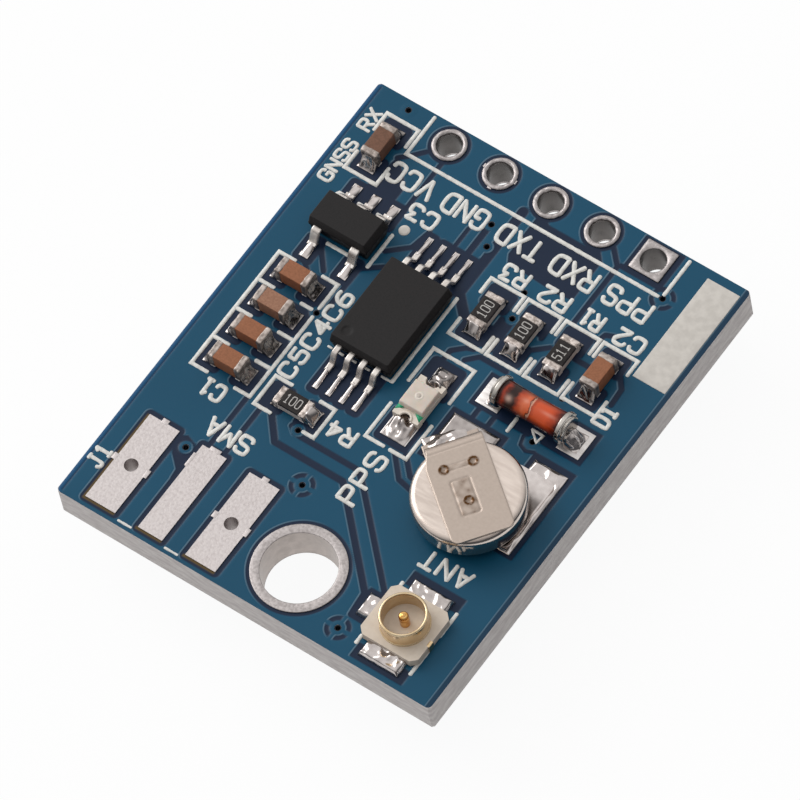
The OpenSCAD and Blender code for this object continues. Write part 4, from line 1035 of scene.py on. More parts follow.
def mask_finish(settings):
    """Liquid photo-imaged solder mask: glossy blue, navy where no copper lies under it, and brighter at the
    rim with painted light.

    The points carry their distance to the nearest gap in millimetres, so its edge stays crisp, how far a
    copper edge there faces right, where a pale line is a painted highlight, and their share of the rim's
    painted light.
    """
    tree, shader, place = new_finish("solder_mask_blue")
    gap = add(tree, "ShaderNodeAttribute", attribute_name="gap").outputs["Fac"]
    rim = add(tree, "ShaderNodeAttribute", attribute_name="rim").outputs["Fac"]
    over = add(tree, "ShaderNodeMapRange", {"Value": gap, "From Min": -0.03, "From Max": 0.04}).outputs[0]
    grit = {"Vector": place, "Scale": 1 / (6 * MM), "Detail": 2.0}
    drift = add(tree, "ShaderNodeTexNoise", grit).outputs[0]
    deep = tuple(0.82 * c for c in settings.copper)
    copper = add(tree, "ShaderNodeMix", {0: drift, 6: rgba(deep), 7: rgba(settings.copper)}, data_type="RGBA")
    ends = {0: over, 6: rgba(settings.gap), 7: copper.outputs[2]}
    base = add(tree, "ShaderNodeMix", ends, data_type="RGBA")
    # painted light: the rim colour on the left edge strip
    base = add(tree, "ShaderNodeMix", {0: rim, 6: base.outputs[2], 7: rgba(settings.rim)}, data_type="RGBA")
    # painted highlight: a pale line along copper edges that face right, as if they caught the light
    facing = add(tree, "ShaderNodeAttribute", attribute_name="facing").outputs["Fac"]
    line = add(tree, "ShaderNodeMath", {0: gap, 1: 0.03, 2: 0.03}, operation="COMPARE")
    line = add(tree, "ShaderNodeMath", {0: line.outputs[0], 1: facing}, operation="MULTIPLY")
    line = add(tree, "ShaderNodeMath", {0: line.outputs[0], 1: 0.24}, operation="MULTIPLY")
    ends = {0: line.outputs[0], 6: base.outputs[2], 7: rgba("#a9c2d2")}
    base = add(tree, "ShaderNodeMix", ends, data_type="RGBA")
    bare = add(tree, "ShaderNodeAttribute", attribute_name="bare").outputs["Fac"]
    bare = add(tree, "ShaderNodeMapRange", {"Value": bare, "From Min": -0.03, "From Max": 0.04}).outputs[0]
    base = add(tree, "ShaderNodeMix", {0: bare, 6: base.outputs[2], 7: rgba("#5c4a28")}, data_type="RGBA")
    tree.links.new(base.outputs[2], shader.inputs["Base Color"])
    shader.inputs["Specular IOR Level"].default_value = 0.2
    # orange peel of the dried ink, about 0.25 mm from crest to crest
    grit = {"Vector": place, "Scale": 1 / (0.25 * MM), "Detail": 3.0}
    peel = add(tree, "ShaderNodeTexNoise", grit).outputs[0]
    gloss = add(tree, "ShaderNodeMapRange", {"Value": peel, "To Min": 0.28, "To Max": 0.44}).outputs[0]
    tree.links.new(gloss, shader.inputs["Roughness"])
    height = add(tree, "ShaderNodeMath", {0: over, 1: 6.0, 2: peel}, operation="MULTIPLY_ADD").outputs[0]
    relief = add(tree, "ShaderNodeBump", {"Height": height, "Strength": 1.0, "Distance": 0.002 * MM})
    tree.links.new(relief.outputs[0], shader.inputs["Normal"])


def ink_finish(settings):
    """White screen print: matt ink, a little thin in places so that the mask greys it."""
    thin = tuple(0.8 * c for c in settings.ink)
    grained("print_white", thin, settings.ink, 0.16, (0.5, 0.68), 0.006)


def solder_finish():
    """Reflowed solder: bright where it stands open, and rougher and grey by the mark at its points, whose
    grey is painted shade and dark reflection; the noisy patches of light and dark in both tones are painted
    reflection.
    """
    tree, shader, place = new_finish("solder_joint")
    shade_and_matte = add(tree, "ShaderNodeAttribute", attribute_name="shade_and_matte").outputs["Fac"]
    # noise whose patches of light and dark stand for reflections: painted reflection
    grit = {"Vector": place, "Scale": 1 / (0.25 * MM), "Detail": 0.5}
    noise = add(tree, "ShaderNodeTexNoise", grit).outputs[0]
    clean = add(tree, "ShaderNodeMix", {0: noise, 6: rgba("#bfb5b1"), 7: rgba("#e6deda")}, data_type="RGBA")
    # painted shade and dark reflection: the grey tones of joints that face away from the light
    shaded_solder = add(tree, "ShaderNodeMix", {0: noise, 6: rgba("#3f3b3a"), 7: rgba("#8f8783")}, data_type="RGBA")
    ends = {0: shade_and_matte, 6: clean.outputs[2], 7: shaded_solder.outputs[2]}
    colour = add(tree, "ShaderNodeMix", ends, data_type="RGBA")
    tree.links.new(colour.outputs[2], shader.inputs["Base Color"])
    gloss = add(tree, "ShaderNodeMapRange", {"Value": shade_and_matte, "To Min": 0.15, "To Max": 0.25}).outputs[0]
    tree.links.new(gloss, shader.inputs["Roughness"])
    shader.inputs["Metallic"].default_value = 1.0


def weld_finish():
    """Satin nickel with the brown heat of a resistance weld, where the points carry the mark weld."""
    tree, shader, place = new_finish("nickel_welded")
    heat = add(tree, "ShaderNodeAttribute", attribute_name="weld").outputs["Fac"]
    grit = {"Vector": place, "Scale": 1 / (0.12 * MM), "Detail": 3.0}
    noise = add(tree, "ShaderNodeTexNoise", grit).outputs[0]
    mixed = add(tree, "ShaderNodeMath", {0: heat, 1: noise}, operation="MULTIPLY").outputs[0]
    burn = add(tree, "ShaderNodeMapRange", {"Value": mixed, "From Max": 0.5}).outputs[0]
    plain = add(tree, "ShaderNodeMix", {0: noise, 6: rgba("#a99b90"), 7: rgba("#b9aba0")}, data_type="RGBA")
    colour = add(tree, "ShaderNodeMix", {0: burn, 6: plain.outputs[2], 7: rgba("#53371c")}, data_type="RGBA")
    tree.links.new(colour.outputs[2], shader.inputs["Base Color"])
    shader.inputs["Metallic"].default_value = 0.95
    gloss = add(tree, "ShaderNodeMapRange", {"Value": noise, "To Min": 0.36, "To Max": 0.5}).outputs[0]
    tree.links.new(gloss, shader.inputs["Roughness"])


def sleeve_finish():
    """Glass over red copper slugs: a smoky band at one end, orange-red beyond the seam, with painted shade
    down the flanks and painted highlights where the glint mark is high.
    """
    tree, shader, place = new_finish("diode_red_glass")
    along = add(tree, "ShaderNodeAttribute", attribute_name="along").outputs["Fac"]
    grit = {"Vector": place, "Scale": 1 / (0.3 * MM), "Detail": 3.0}
    noise = add(tree, "ShaderNodeTexNoise", grit).outputs[0]
    sway = add(tree, "ShaderNodeMath", {0: noise, 1: 0.14, 2: along}, operation="MULTIPLY_ADD").outputs[0]
    sway = add(tree, "ShaderNodeMath", {0: sway, 1: 1.1}, operation="DIVIDE").outputs[0]
    ramp = add(tree, "ShaderNodeValToRGB", {0: sway})
    # the pale stop just past the seam is a painted highlight
    stops = ((0.04, "#150a08"), (0.1, "#3a140c"), (0.15, "#a0371d"), (0.19, "#642418"), (0.23, "#2a1b19"),
             (0.32, "#321d19"), (0.39, "#b8492a"), (0.48, "#d96f49"), (0.545, "#d4623a"), (0.565, "#47120a"),
             (0.58, "#d9a58c"), (0.6, "#a9442a"), (0.66, "#cf5630"), (0.85, "#d1532b"), (0.97, "#a63a1a"),
             (1.05, "#3c130c"))
    bands = ramp.color_ramp.elements
    for k, (at, colour) in enumerate(stops):
        band = bands[k] if k < 2 else bands.new(at / 1.1)
        band.position = at / 1.1
        band.color = rgba(colour)
    # painted shade: darker down both flanks of the tube
    flank_shade = add(tree, "ShaderNodeAttribute", attribute_name="flank_shade").outputs["Fac"]
    colour = add(tree, "ShaderNodeMix", {0: flank_shade, 6: ramp.outputs[0], 7: rgba("#1c0906")}, data_type="RGBA")
    # painted highlight: pale streaks where the glint mark is high
    glint = add(tree, "ShaderNodeAttribute", attribute_name="glint").outputs["Fac"]
    ends = {0: glint, 6: colour.outputs[2], 7: rgba("#f0c9b6")}
    colour = add(tree, "ShaderNodeMix", ends, data_type="RGBA")
    tree.links.new(colour.outputs[2], shader.inputs["Base Color"])
    gloss = add(tree, "ShaderNodeMapRange", {"Value": noise, "To Min": 0.3, "To Max": 0.5}).outputs[0]
    tree.links.new(gloss, shader.inputs["Roughness"])
    shader.inputs["Specular IOR Level"].default_value = 0.0
    shader.inputs["Coat Weight"].default_value = 0.8
    shader.inputs["Coat IOR"].default_value = 1.4
    shader.inputs["Coat Roughness"].default_value = 0.04


def make_piece(name, part, finish, marks=None, stands_for=(), weld=True):
    """Mesh piece that rides on the board, from points in millimetres; marks are numbers kept at the
    points.
    """
    points, blocks = part[:2]
    if weld:
        points, faces, first = welded(points, blocks)
        marks = {key: values[first] for key, values in (marks or {}).items()}
    else:
        faces = [face for block in blocks for face in block.tolist()]
    mesh = bpy.data.meshes.new(name)
    mesh.from_pydata((points * MM).tolist(), [], faces)
    mesh.polygons.foreach_set("use_smooth", np.ones(len(mesh.polygons), bool))
    for key, values in (marks or {}).items():
        layer = mesh.attributes.new(key, "FLOAT", "POINT")
        layer.data.foreach_set("value", np.asarray(values, np.float32).ravel())
    mesh.materials.append(bpy.data.materials[finish])
    mesh.update()
    piece = bpy.data.objects.new(name, mesh)
    bpy.context.scene.collection.objects.link(piece)
    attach(piece, "root")
    if stands_for:
        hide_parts(*stands_for)
    return piece


def hold_flats(piece, angle=40):
    """Keeps edges sharper than an angle in degrees, so that flat faces stay flat."""
    piece.data.set_sharp_from_angle(angle=np.radians(angle))


class BOARD_OT_stage(Operator):
    """Sets the white floor, the soft key light, the sky and the camera"""

    bl_idname = "board.stage"
    bl_label = "Stage and camera"

    def execute(self, context):
        stage = context.scene.board.stage
        scene = context.scene
        scene.view_settings.view_transform = "Standard"
        away = Vector((
            np.cos(stage.elevation) * np.cos(stage.azimuth),
            np.cos(stage.elevation) * np.sin(stage.azimuth),
            np.sin(stage.elevation),
        ))
        self.place_camera(scene, stage, away)
        self.light(scene, stage)
        self.lay_floor(scene, stage)
        return {"FINISHED"}

    def place_camera(self, scene, stage, away):
        """The camera's upright is the level one turned by the roll towards its right."""
        forward = -away
        right = forward.cross(Vector((0, 0, 1))).normalized()
        level_up = right.cross(forward)
        up = level_up * np.cos(stage.roll) + right * np.sin(stage.roll)
        side = forward.cross(up)
        data = bpy.data.cameras.new("photo_camera")
        data.lens = stage.lens
        data.sensor_width = 36
        data.clip_start, data.clip_end = 0.01, 10
        camera = bpy.data.objects.new("photo_camera", data)
        turn = Matrix((side, up, away)).transposed().to_4x4()
        camera.matrix_world = Matrix.Translation(Vector(stage.aim) + away * stage.distance) @ turn
        scene.collection.objects.link(camera)
        scene.camera = camera

    def light(self, scene, stage):
        """Key light from the picture's upper left, and a sky that is white above it and dim on the
        far side.
        """
        lamp = bpy.data.lights.new("key_light", "AREA")
        lamp.shape = "DISK"
        lamp.size = 0.36
        lamp.energy = stage.key_power
        key = bpy.data.objects.new("key_light", lamp)
        key.location = (-0.4, 0.03, 0.3)
        key.rotation_mode = "QUATERNION"
        key.rotation_quaternion = (-Vector(key.location)).to_track_quat("-Z", "Y")
        scene.collection.objects.link(key)
        world = bpy.data.worlds.new("studio_sky")
        scene.world = world
        world.use_nodes = True
        tree = world.node_tree
        tree.nodes.clear()
        ray = add(tree, "ShaderNodeTexCoord").outputs["Generated"]
        bright = Vector((-0.55, 0.3, 0.78)).normalized()
        facing = add(tree, "ShaderNodeVectorMath", {0: ray, 1: bright}, operation="DOT_PRODUCT")
        reach = {"Value": facing.outputs["Value"], "From Min": -0.1, "From Max": 0.75}
        tone = add(tree, "ShaderNodeMapRange", reach).outputs[0]
        ends = {0: tone, 6: rgba("#5c5d60"), 7: rgba("#ffffff")}
        colour = add(tree, "ShaderNodeMix", ends, data_type="RGBA")
        sky = add(tree, "ShaderNodeBackground", {"Color": colour.outputs[2], "Strength": stage.sky})
        add(tree, "ShaderNodeOutputWorld", {"Surface": sky.outputs[0]})

    def lay_floor(self, scene, stage):
        """White paper: plain white for its light, and mostly white of its own where it is seen, so a
        shadow stays.
        """
        finish = bpy.data.materials.new("paper_white")
        finish.use_nodes = True
        tree = finish.node_tree
        tree.nodes.clear()
        place = add(tree, "ShaderNodeTexCoord").outputs["Object"]
        fibre = add(tree, "ShaderNodeTexNoise", {"Vector": place, "Scale": 1 / (2 * MM)}).outputs[0]
        shade = add(tree, "ShaderNodeMapRange", {"Value": fibre, "To Min": 0.88, "To Max": 0.92}).outputs[0]
        paper = add(tree, "ShaderNodeBsdfDiffuse", {"Color": shade})
        own = add(tree, "ShaderNodeEmission", {"Color": rgba("#ffffff"), "Strength": 1.0})
        path = add(tree, "ShaderNodeLightPath")
        rays = {0: path.outputs["Is Camera Ray"], 1: path.outputs["Is Glossy Ray"]}
        seen = add(tree, "ShaderNodeMath", rays, operation="MAXIMUM")
        seen = add(tree, "ShaderNodeMath", {0: seen.outputs[0], 1: path.outputs["Is Transmission Ray"]},
                   operation="MAXIMUM")
        share = add(tree, "ShaderNodeMath", {0: seen.outputs[0], 1: stage.floor_glow}, operation="MULTIPLY")
        ends = {0: share.outputs[0], 1: paper.outputs[0], 2: own.outputs[0]}
        mixed = add(tree, "ShaderNodeMixShader", ends)
        add(tree, "ShaderNodeOutputMaterial", {"Surface": mixed.outputs[0]})
        x, y = np.meshgrid(np.linspace(-4, 4, 9), np.linspace(-4, 4, 9))
        points = np.stack([x, y, np.zeros_like(x)], axis=-1).reshape(-1, 3)
        mesh = bpy.data.meshes.new("paper_floor")
        mesh.from_pydata(points.tolist(), [], grid_quads(9, 9).tolist())
        mesh.materials.append(finish)
        floor = bpy.data.objects.new("paper_floor", mesh)
        scene.collection.objects.link(floor)


class BOARD_OT_finishes(Operator):
    """Makes the finishes and gives each solid the one of its material slot"""

    bl_idname = "board.finishes"
    bl_label = "Finishes"

    def execute(self, context):
        make_finishes()
        ink_finish(context.scene.board.ink)
        weld_finish()
        solder_finish()
        mask_finish(context.scene.board.mask)
        for row in frame["record"]["subparts"]:
            finish = FINISH_OF_NODE.get(row["node"], FINISH_OF_SLOT[row["material_slot"]])
            mesh = frame["nodes"][row["node"]].data
            mesh.materials.clear()
            mesh.materials.append(bpy.data.materials[finish])
        return {"FINISHED"}


class BOARD_OT_solder_mask(Operator):
    """Lays the solder mask over both faces, raised where copper lies under it"""

    bl_idname = "board.solder_mask"
    bl_label = "Solder mask"

    def execute(self, context):
        settings = context.scene.board.mask
        step, rise = settings.step / MM, settings.rise / MM
        x, y, edge = board_grid(step)
        gap = gap_distance(x, y)
        # painted highlight: how far each copper edge faces right, for the pale lines
        facing = np.clip(-np.gradient(gap, axis=1) / step, 0, 1) * (x > -8.9)
        # painted light: a brighter strip along the left edge only
        rim = 0.7 * smooth(-8.98 - x, 0, 0.2)
        marks = {"gap": gap, "facing": facing, "rim": rim, "bare": self.bare(x, y)}
        self.lay("solder_mask_top", x, y, edge, marks, rise, False)
        x, y, edge = board_grid(2 * step)
        none = np.zeros(x.shape)
        marks = {"gap": self.under_gap(x, y), "facing": none, "rim": none, "bare": none - 1}
        self.lay("solder_mask_under", x, y, edge, marks, rise, True)
        return {"FINISHED"}

    def under_gap(self, x, y):
        """Gaps of the underside: rings round the holes, the receiver's lands and a copper border."""
        found = [run_distance(x, y, BORDER[1]) - BORDER[0] / 2]
        found += [np.hypot(x - cx, y - cy) - r - 0.36 for cx, cy, r in board_holes()[:6]]
        found += [area_distance(x, y, rectangle(*box_mm(pad))) - LAND_CLEAR for pad in EDGE_PADS]
        low, high = box_mm("receiver_lands")
        found.append(np.abs(area_distance(x, y, rectangle(low, high))) - 0.12)
        return np.min(found, axis=0)

    def bare(self, x, y):
        """Depth inside the thin strips of bare laminate before the edge pads and on the left of the first."""
        low, high = box_mm(EDGE_PADS[0])
        strips = [rectangle(low[:2] - 0.11, (low[0] + 0.03, high[1]))]
        for pad in EDGE_PADS:
            low, high = box_mm(pad)
            strips.append(rectangle(low[:2] - 0.11, (high[0], low[1] + 0.03)))
        return -np.min([area_distance(x, y, corners) for corners in strips], axis=0)

    def lay(self, name, x, y, edge, marks, rise, under):
        """Height above the face: a thin film, plus the rise over copper and round each via, down to 0
        at the edge.
        """
        film = 0.005 + rise * smooth(marks["gap"], -0.02, 0.06)
        for cx, cy in VIAS:
            far = np.hypot(x - cx, y - cy)
            film += 0.012 * smooth(0.36 - far, 0, 0.1)
        film += 0.0012 * ripple(np.stack([x, y], axis=-1), 2.2, 5)
        z = TOP_Z + film * smooth(edge, -0.001, 0.09)
        shape = x.shape
        x, y, z = x.ravel(), y.ravel(), z.ravel()
        quads = punched(x, y, grid_quads(*shape), board_holes())
        part = (np.stack([x, y, z], axis=-1), [quads])
        part = to_underside(part) if under else part
        make_piece(name, part, "solder_mask_blue", marks, weld=False)


class BOARD_OT_print(Operator):
    """Prints the outlines, the lettering and the blank writing panel"""

    bl_idname = "board.print"
    bl_label = "White print"

    def execute(self, context):
        settings = context.scene.board.ink
        line, letter = settings.line / MM, settings.letter / MM
        low, high = TOP_Z, TOP_Z + settings.height / MM
        lines = list(PRINT_LINES)
        wide, top, top_leg, bottom, bottom_leg = CHIP_BRACKET
        for node in CHIP_ROW_NODES:
            x = middle(node)[0]
            for level, leg in ((top, top_leg), (bottom, bottom_leg)):
                lines.append(((x - wide, leg), (x - wide, level), (x + wide, level), (x + wide, leg)))
        parts = [stroke(path, line, low, high + 0.0004 * (k % 5), k) for k, path in enumerate(lines)]
        parts += [stroke(path, 0.62 * line, low, high, 50 + k, 0.12) for k, path in enumerate(THIN_LINES)]
        make_piece("print_outlines", joined(parts), "print_white")
        parts = []
        for words, box, turn in LETTERING:
            x0, y0, x1, y1 = box
            width = min(letter, 0.215 * (x1 - x0 if turn == 90 else y1 - y0))
            inner = (x0 + width / 2, y0 + width / 2, x1 - width / 2, y1 - width / 2)
            for path in letter_strokes(words, inner, turn):
                k = len(parts)
                parts.append(stroke(path, width, low, high + 0.0004 * (k % 7), 100 + k))
        make_piece("print_lettering", joined(parts), "print_white")
        x, y, r = PRINT_DOT
        dot = lathe([(r, low), (r * 0.93, high - 0.003), (r * 0.5, high), (0, high)], (x, y), 40)
        (x0, y0), (x1, y1) = WRITE_PANEL
        panel = soft_box((x0, y0, low - 0.02), (x1, y1, high), 0.03)[:2]
        make_piece("print_panel", joined([dot, panel]), "print_panel")
        self.under(line)
        self.codes()
        return {"FINISHED"}

    def under(self, line):
        """Outline of the receiver and its first-pin bar on the underside."""
        low, high = box_mm("receiver_lands")
        (x0, y0), (x1, y1) = low[:2] - 0.35, high[:2] + 0.35
        path = ((x0, y1 - 1.2), (x0, y1), (x1, y1), (x1, y0), (x0, y0), (x0, y1 - 2.2))
        parts = [to_underside(stroke(path, line, TOP_Z, TOP_Z + 0.042, 300))]
        for words, box in (("ANT", (5.3, -8.4, 7.5, -7.4)), ("SMA", (-5.9, -5.9, -3.7, -4.9))):
            for path in letter_strokes(words, box, 0):
                path = path * (-1, 1) + (box[0] + box[2], 0)
                level = TOP_Z + 0.042 + 0.0004 * (len(parts) % 7)
                parts.append(to_underside(stroke(path, line, TOP_Z, level, 310)))
        make_piece("print_underside", joined(parts), "print_white")

    def codes(self):
        """Three-digit codes on the resistors' cover glaze."""
        parts = []
        for node, code, turn in RESISTOR_CODES:
            low, high = box_mm(node + "_film")
            x, y = (low + high)[:2] / 2
            across, along = (0.21, 0.37) if turn == 90 else (0.37, 0.21)
            box = (x - across, y - along, x + across, y + along)
            for path in letter_strokes(code, box, turn):
                k = len(parts)
                level = high[2] + 0.006 + 0.0003 * (k % 5)
                parts.append(stroke(path, 0.047, high[2] - 0.004, level, 400 + k, 0.05))
        make_piece("resistor_codes", joined(parts), "print_code")


class BOARD_OT_plating(Operator):
    """Adds the domed tin on the header pads and the mounting ring, and the pads' spokes"""

    bl_idname = "board.plating"
    bl_label = "Plated pads"

    def execute(self, context):
        rings = [self.round_ring(middle(pad)[:2], HEADER_HOLE_R, 0.75, 0.05) for pad in HEADER_PADS[:4]]
        rings.append(self.square_ring(middle(HEADER_PADS[4])[:2], HEADER_HOLE_R, 0.75, 0.05))
        rings.append(self.round_ring(middle("mounting_ring")[:2], MOUNT_HOLE_R, 2.0, 0.014, 120, 0.03))
        rings += [to_underside(ring) for ring in rings]
        make_piece("plated_rings", joined(rings), "tin_ring")
        make_piece("pad_spokes", joined(self.spokes()), "tin_levelled")
        return {"FINISHED"}

    def round_ring(self, centre, inner, outer, dome, steps=72, lining=0.12):
        """Tin drawn into a low dome from the pad's rim to the mouth of its hole, by a half sine, and
        into the hole.
        """
        t = np.linspace(0, 1, 15)
        r = outer + (inner - outer) * t
        z = LAND_Z + dome * np.sin(np.pi * np.clip(t * 0.96 + 0.02, 0, 1)) ** 0.8
        profile = [(outer, LAND_Z - 0.02)] + list(zip(r, z)) + [(inner - 0.004, LAND_Z - lining)]
        points, blocks = lathe(profile, centre, steps)
        points[:, 2] += 0.25 * dome * ripple(points[:, :2], 0.34, 21) * (points[:, 2] > LAND_Z + 0.01)
        return points, blocks

    def square_ring(self, centre, inner, side, dome):
        """As the round ring, with the rim on a rounded square: points run straight from the square to
        the circle.
        """
        count = 96
        rim = round_outline((side, side), 0.06, count)
        angle = np.arctan2(rim[:, 1], rim[:, 0])
        hole = inner * np.stack([np.cos(angle), np.sin(angle)], 1)
        t = np.concatenate([[0], np.linspace(0, 1, 15), [1]])
        z = LAND_Z + dome * np.sin(np.pi * np.clip(t * 0.96 + 0.02, 0, 1)) ** 0.8
        z[0], z[-1] = LAND_Z - 0.02, LAND_Z - 0.12
        flat = rim + (hole - rim) * t[:, None, None] + np.array(centre)
        points = np.concatenate([flat, np.broadcast_to(z[:, None, None], flat.shape[:2] + (1,))], axis=-1)
        return points.reshape(-1, 3), [grid_quads(len(t), count, closed=True)]

    def spokes(self):
        """Short bridges of tinned copper from the edge pads and the ground pad to the copper round them."""
        ends = []
        for pad in (EDGE_PADS[0], EDGE_PADS[2]):
            low, high = box_mm(pad)
            ends.append(((low[0] + high[0]) / 2, high[1] + 0.05, 0.16, 0.12))
            ends.append((low[0] - 0.05, EDGE_HOLE_Y, 0.12, 0.16))
            ends.append((high[0] + 0.03, EDGE_HOLE_Y, 0.1, 0.2))
        low, high = box_mm(EDGE_PADS[1])
        ends.append(((low[0] + high[0]) / 2, high[1] + 0.06, 0.27, 0.1))
        ends.append((low[0] - 0.02, -7.15, 0.08, 0.35))
        cx, cy, _ = middle(HEADER_PADS[1])
        ends += [(cx - 0.74, cy, 0.07, 0.1), (cx + 0.74, cy, 0.07, 0.1), (cx, cy - 0.74, 0.1, 0.07)]
        return [
            soft_box((x - dx, y - dy, LAND_Z - 0.06), (x + dx, y + dy, LAND_Z + 0.004), 0.02, 3, 2)[:2]
            for x, y, dx, dy in ends
        ]


class BOARD_OT_solder(Operator):
    """Sets the solder at every joint of the top face"""

    bl_idname = "board.solder"
    bl_label = "Solder"

    def execute(self, context):
        settings = context.scene.board.solder
        lumps = settings.lumps / MM
        parts, shadings = self.chip_feet(settings, lumps)
        for node, pitch, counts, toe, width in (
            ("memory_leads", MEMORY_PITCH, (4, 4), MEMORY_TOE, 0.24),
            ("regulator_leads", REGULATOR_PITCH, (3, 2), REGULATOR_TOE, 0.42),
        ):
            for foot, out in lead_places(node, pitch, counts):
                rise, seed = settings.lead / MM, 7 * len(parts)
                parts.append(joint(foot, out, toe - 0.02, width, rise, seed, 0.35 * lumps, power=0.8,
                                   back=0.12, round_end=1.6, side=3, fold=0.7))
        front, back = self.lamp_feet()
        shadings += [0.1] * (len(parts) - len(shadings))
        parts.append(joint(*front, LAMP_TOE - 0.06, 1.16, 0.22, 912, 2.2 * lumps, power=0.8, back=0.2,
                           round_end=2.2, fold=0.55))
        (x, y), out = back
        parts.append(joint((x + 0.12, y), out, 0.84, 0.86, 0.36, 931, 2.2 * lumps, power=0.6, back=0.2,
                           round_end=1.0, fold=0.5))
        shadings += [0.35, 0.62]
        (left, left_out), (right, right_out) = self.diode_feet()
        parts.append(joint(left, left_out, 0.34, 1.1, 0.4, 205, lumps, power=0.8, back=0.1, round_end=1.6))
        parts.append(joint(right, right_out, 0.52, 0.94, 0.56, 212, 1.7 * lumps, power=0.75, back=0.1,
                           round_end=2.4, side=2.5, fold=0.42))
        shadings += [0.1, 0.15]
        parts += self.cell_feet(lumps)
        shadings += [0.15, 0.45, 0.3]
        parts += self.socket_feet(lumps)
        shadings += [0.28, 0.18, 0.22]
        # each joint's share of painted shade and dark reflection, which also makes its solder rougher
        shade_and_matte = np.concatenate([np.full(len(points), shading) for (points, _), shading in zip(parts, shadings)])
        make_piece("solder_joints", joined(parts), "solder_joint", {"shade_and_matte": shade_and_matte},
                   stands_for=("solder_fillets",))
        plates = [
            soft_box((*corners[0], LAND_Z - 0.045), (*corners[2], LAND_Z - 0.001), 0.02, 3, 2)[:2]
            for corners in open_lands()
        ]
        make_piece("land_faces", joined(plates), "tin_flat", stands_for=("solder_lands",))
        return {"FINISHED"}

    def chip_feet(self, settings, lumps):
        """Solder at the chips' ends: full and bright at one end, thin at the other and darkened there with
        painted shade and dark reflection.
        """
        parts, shadings = [], []
        for chip in CAPACITORS + RESISTORS:
            plain = chip in CAPACITORS
            rise = (settings.capacitor if plain else settings.resistor) / MM
            for foot, out in chip_ends(chip):
                seed = 10 * len(parts)
                size = 1 + 0.12 * np.sin(seed)
                full = full_end(chip, out)
                if plain:
                    toe, tall, power, lump, shading = 0.34, 1.0, 1.5, 1.6, 0.4 if full else 0.75
                elif full:
                    toe, tall, power, lump, shading = 0.36, 1.35, 0.6, 0.8, 0.1
                else:
                    toe, tall, power, lump, shading = 0.16, 0.8, 1.5, 1.0, 0.9
                tall, fold = tall * rise * size, 0.3 if plain else 0.5
                parts.append(joint(foot, out, toe * size, 0.82, tall, seed, lump * lumps, power, fold=fold))
                shadings.append(shading)
        return parts, shadings

    def lamp_feet(self):
        """Middle of each end of the lamp, and the way that it faces."""
        low, high = box_mm("led_ends")
        x = (low[0] + high[0]) / 2
        return (((x, low[1]), (0, -1)), ((x, high[1]), (0, 1)))

    def diode_feet(self):
        """Middle of each end of the diode, and the way that it faces."""
        low, high = box_mm("diode_caps")
        y = (low[1] + high[1]) / 2
        return (((low[0], y), (-1, 0)), ((high[0], y), (1, 0)))

    def cell_feet(self, lumps):
        """Solder round the foot of the top tab and along the outer edge of the lower one."""
        (upper, upper_half), (lower, lower_half) = [(np.array(at), np.array(half)) for at, half in CELL_LANDS]
        parts = [pool(lower - lower_half, lower + lower_half, 0.07, 61, 0.9 * lumps)]
        parts.append(pool(upper - upper_half, upper + upper_half, 0.08, 63, 0.5 * lumps, fold=1.4))
        out = np.array([np.cos(TAB_TURN), np.sin(TAB_TURN)])
        foot = np.array([CELL_X, CELL_Y]) + out * 3.36
        parts.append(joint(foot, out, 0.4, 2.0, 0.2, 65, 1.6 * lumps, power=1.0, back=0.3))
        return parts

    def socket_feet(self, lumps):
        """Solder over the socket's two ground feet and its signal tail, out from the moulded body."""
        parts = []
        for k, (at, half) in enumerate(SOCKET_LANDS):
            at, half = np.array(at), np.array(half)
            parts.append(pool(at - half, at + half, 0.2, 71 + 2 * k, 0.8 * lumps, 0.12, 0.5))
        return parts


class BOARD_OT_chips(Operator):
    """Replaces the chip capacitors and resistors with round-edged, lumpy-ended pieces"""

    bl_idname = "board.chips"
    bl_label = "Chip parts"

    def execute(self, context):
        slots = {row["node"]: row["material_slot"] for row in frame["record"]["subparts"]}
        for k, chip in enumerate(CAPACITORS):
            low, high = box_mm(chip + "_ends")
            axis = int(np.argmax((high - low)[:2]))
            inset = np.full(3, 0.02)
            inset[axis] = CHIP_END - 0.06
            body = lumpy_box(low + inset, high - inset, 0.03, 0.002, 0.4, k)
            make_piece(chip + "_block", body, FINISH_OF_SLOT[slots[chip]], stands_for=(chip,))
            ends = self.ends(low, high, axis, 0.07, 0.012, 30 + 2 * k)
            make_piece(chip + "_caps", ends, "terminal_tin", stands_for=(chip + "_ends",))
        for k, chip in enumerate(RESISTORS):
            low, high = box_mm(chip + "_ends")
            axis = int(np.argmax((high - low)[:2]))
            ends = self.ends(low, high, axis, 0.06, 0.014, 60 + 2 * k)
            make_piece(chip + "_caps", ends, "terminal_bright", stands_for=(chip + "_ends",))
            film_low, film_high = box_mm(chip + "_film")
            body_low, body_high = box_mm(chip)
            film_low[1 - axis], film_high[1 - axis] = body_low[1 - axis] - 0.006, body_high[1 - axis] + 0.006
            film = soft_box(film_low - (0, 0, 0.09), film_high, 0.018)[:2]
            make_piece(chip + "_glaze", film, "cover_glaze", stands_for=(chip + "_film",))
        return {"FINISHED"}

    def ends(self, low, high, axis, radius, lump, seed):
        """Two end caps, each as long as the end plating, with its surface rippled."""
        parts = []
        for k in range(2):
            a, b = low.copy(), high.copy()
            if k:
                a[axis] = high[axis] - CHIP_END
            else:
                b[axis] = low[axis] + CHIP_END
            parts.append(lumpy_box(a, b, radius, lump, 0.22, seed + k))
        return joined(parts)


